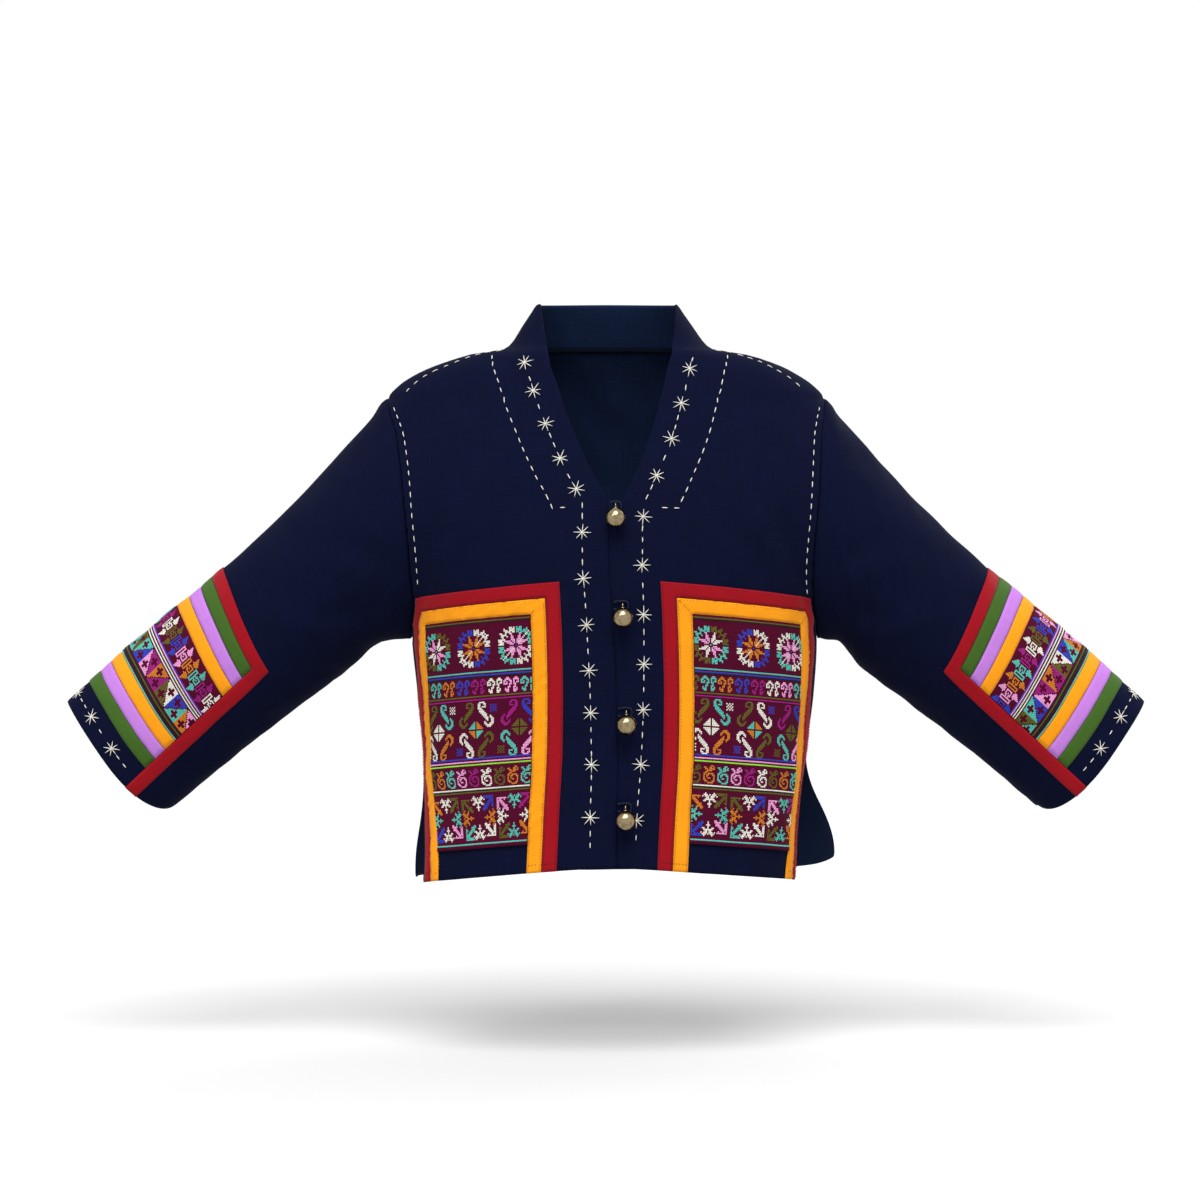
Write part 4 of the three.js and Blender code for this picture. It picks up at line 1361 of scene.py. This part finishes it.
for n, (z, x) in enumerate(BUTTONS, 1):
    place = np.array([lean_at(z) + x, -depth_at["front"](z + BALL), z])
    ball = lathe(ball_profile())
    angles = np.arange(40) * 2 * math.pi / 40
    shank = [(0, SHANK_RING * math.cos(a) + 7, SHANK_RING * math.sin(a) + SHANK_UP) for a in angles]
    points, faces = join_up([ball, tube(shank, WIRE, closed=True)])
    button = make(f"ball_button_{n}", points + place - [0, BALL_OUT, 0], faces, [METAL],
                  flat=[len(ball[1]) - 1])
    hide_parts(f"button_{n}", f"button_shank_{n}")
    edge = LOOP_START - edge_at["right"](z + BALL) - x
    corners = [(edge, LOOP_HALF - 1), (-1, LOOP_HALF), (LOOP_REACH * 0.75, LOOP_HALF * 0.8),
               (LOOP_REACH, 0), (LOOP_REACH * 0.75, -LOOP_HALF * 0.8), (-1, -LOOP_HALF),
               (edge, 1 - LOOP_HALF)]
    t = np.arange(0, len(corners) - 1 + 1e-9, 1 / 14)
    middle = np.array([catmull(corners, q) for q in t])
    strands = []
    for half in (0, math.pi):
        turn = t * TWIST + half
        path = [(a, -LOOP_OUT + STRAND_OUT * math.cos(w), b + SHANK_UP + STRAND_OUT * math.sin(w))
                for (a, b), w in zip(middle, turn)]
        strands.append(tube(path, STRAND))
    points, faces = join_up(strands)
    loop = make(f"cord_loop_{n}", points + place, faces, [CORD])
    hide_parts(f"button_loop_{n}")

# ---------- Seams inside the neck and at the hem ----------
TAPE_IN, TAPE_RADIUS = 2.6, 2.4
seam_columns = np.arange(BACK.points.shape[1])
seam_line = BACK.at(len(BACK.v) - 1, seam_columns, np.full(len(seam_columns), -TAPE_IN))[0]
points, faces = tube(seam_line, TAPE_RADIUS)
tape = make("neck_seam_tape", points, faces, [TAPE])

FINE_DASH, FINE_GAP, FINE_WIDTH, FROM_EDGE, HEM_UP = 2.0, 1.1, 0.26, 1.6, 8
MITRE_DASH, MITRE_GAP, MITRE_WIDTH = 3.0, 0.15, 0.18


def column_u(surface, v, line, shift=0.0):
    """The distance across of a coarse column line, moved by a shift."""
    return surface.u_at(v, int(np.argmax(surface.column_of == line))) + shift


def frame_path(surface, top, left, right, inward):
    """A path up, across and down inside one of the nested frames."""
    up = [(column_u(surface, v, left, inward), v) for v in
          np.arange(CENTRE_HEM + 2, top - inward + 1, 12)]
    down = [(column_u(surface, v, right, -inward), v) for v in
            np.arange(top - inward, CENTRE_HEM + 2, -12)]
    over = [(mix(up[-1][0], down[0][0], t), top - inward) for t in (0, 0.25, 0.5, 0.75, 1)]
    return up[:-1] + over + down[1:]


for side in SIGN:
    front = FRONTS[side]
    fine = {"lift": HIGH + 0.25, "dash": FINE_DASH, "gap": FINE_GAP, "width": FINE_WIDTH}
    for name, seed, thread, top, left, right in (
            ("red", 31, "r", PANEL_TOP, RED_IN, RED_OUT),
            ("yellow", 32, "g", PANEL_TOP - STRIP, YELLOW_IN, YELLOW_OUT)):
        tonal = Strokes(seed)
        for inward in (FROM_EDGE, STRIP - FROM_EDGE):
            running(tonal, front, frame_path(front, top, left, right, inward), **fine)
        tonal.piece(f"{name}_topstitch_{side}", THREADS[thread])
    dark = Strokes(33)
    for inner, outer, way in ((PANEL_IN, RED_IN, 1), (PANEL_OUT, RED_OUT, -1)):
        v = CENTRE_HEM + HEM_UP
        ends = [column_u(front, v, line, shift * way) for line, shift in ((outer, 1), (inner, -1))]
        running(dark, front, [(mix(*ends, t), v) for t in (0, 0.5, 1)], **fine)
        # The mitred corner of the yellow strip.
        corner, turn = (YELLOW_IN, PANEL_IN) if way == 1 else (YELLOW_OUT, PANEL_OUT)
        top = PANEL_TOP - STRIP
        ends = [(column_u(front, top - 1, corner, way), top - 1),
                (column_u(front, top - STRIP + 1, turn, -way), top - STRIP + 1)]
        running(dark, front, ends, HIGH + 0.15, (), MITRE_DASH, MITRE_GAP, MITRE_WIDTH)
    dark.piece(f"dark_stitches_{side}", DARK_THREAD)


# ---------- Camera, floor and light ----------
camera_data = bpy.data.cameras.new("camera")
camera_data.lens, camera_data.sensor_width = 90, 36
camera_data.clip_end = 100
camera = add_object("camera", camera_data)
camera.location = (-0.006, -3.0, -0.248)
camera.rotation_euler = (math.pi / 2, 0, 0)
bpy.context.scene.camera = camera

FLOOR, FLOOR_REACH, PAPER_GREY = -695, 30000, 0.53
floor_mesh = bpy.data.meshes.new("floor")
ring = [(FLOOR_REACH * math.cos(a), FLOOR_REACH * math.sin(a)) for a in np.arange(0, 6.28, 0.05)]
floor_mesh.from_pydata([(x * MM, y * MM, FLOOR * MM) for x, y in ring], [], [range(len(ring))])
floor = add_object("floor", floor_mesh)
paper, paper_tree = new_material("floor_paper")
paper_inputs = paper_tree.nodes["Principled BSDF"].inputs
paper_inputs["Base Color"].default_value = (PAPER_GREY, PAPER_GREY, PAPER_GREY, 1)
paper_inputs["Roughness"].default_value = 1.0
paper_inputs["Specular IOR Level"].default_value = 0.0
floor_mesh.materials.append(paper)


def lamp(name, kind, energy, place, aim, size):
    """A lamp at a place in metres; its size is metres across, or radians for a sun."""
    data = bpy.data.lights.new(name, kind)
    data.energy = energy
    if kind == "AREA":
        data.size = size
    else:
        data.angle = size
    made = add_object(name, data)
    made.location = place
    made.rotation_euler = (Vector(aim) - Vector(place)).to_track_quat("-Z", "Y").to_euler()


lamp("overhead", "SUN", 3.5, (0, -1.9, 2.7), (0, 0, 0), 0.7)
lamp("key", "AREA", 14, (-1.6, -2.6, 1.6), (0, 0, -0.25), 0.7)
lamp("rim", "AREA", 34, (2.2, 1.6, 1.4), (0, 0, -0.25), 1.8)

world = bpy.data.worlds.new("studio")
world.use_nodes = True
world.node_tree.nodes["Background"].inputs["Color"].default_value = (1, 1, 1, 1)
world.node_tree.nodes["Background"].inputs["Strength"].default_value = 1.0
bpy.context.scene.world = world
bpy.context.scene.view_settings.view_transform = "Standard"
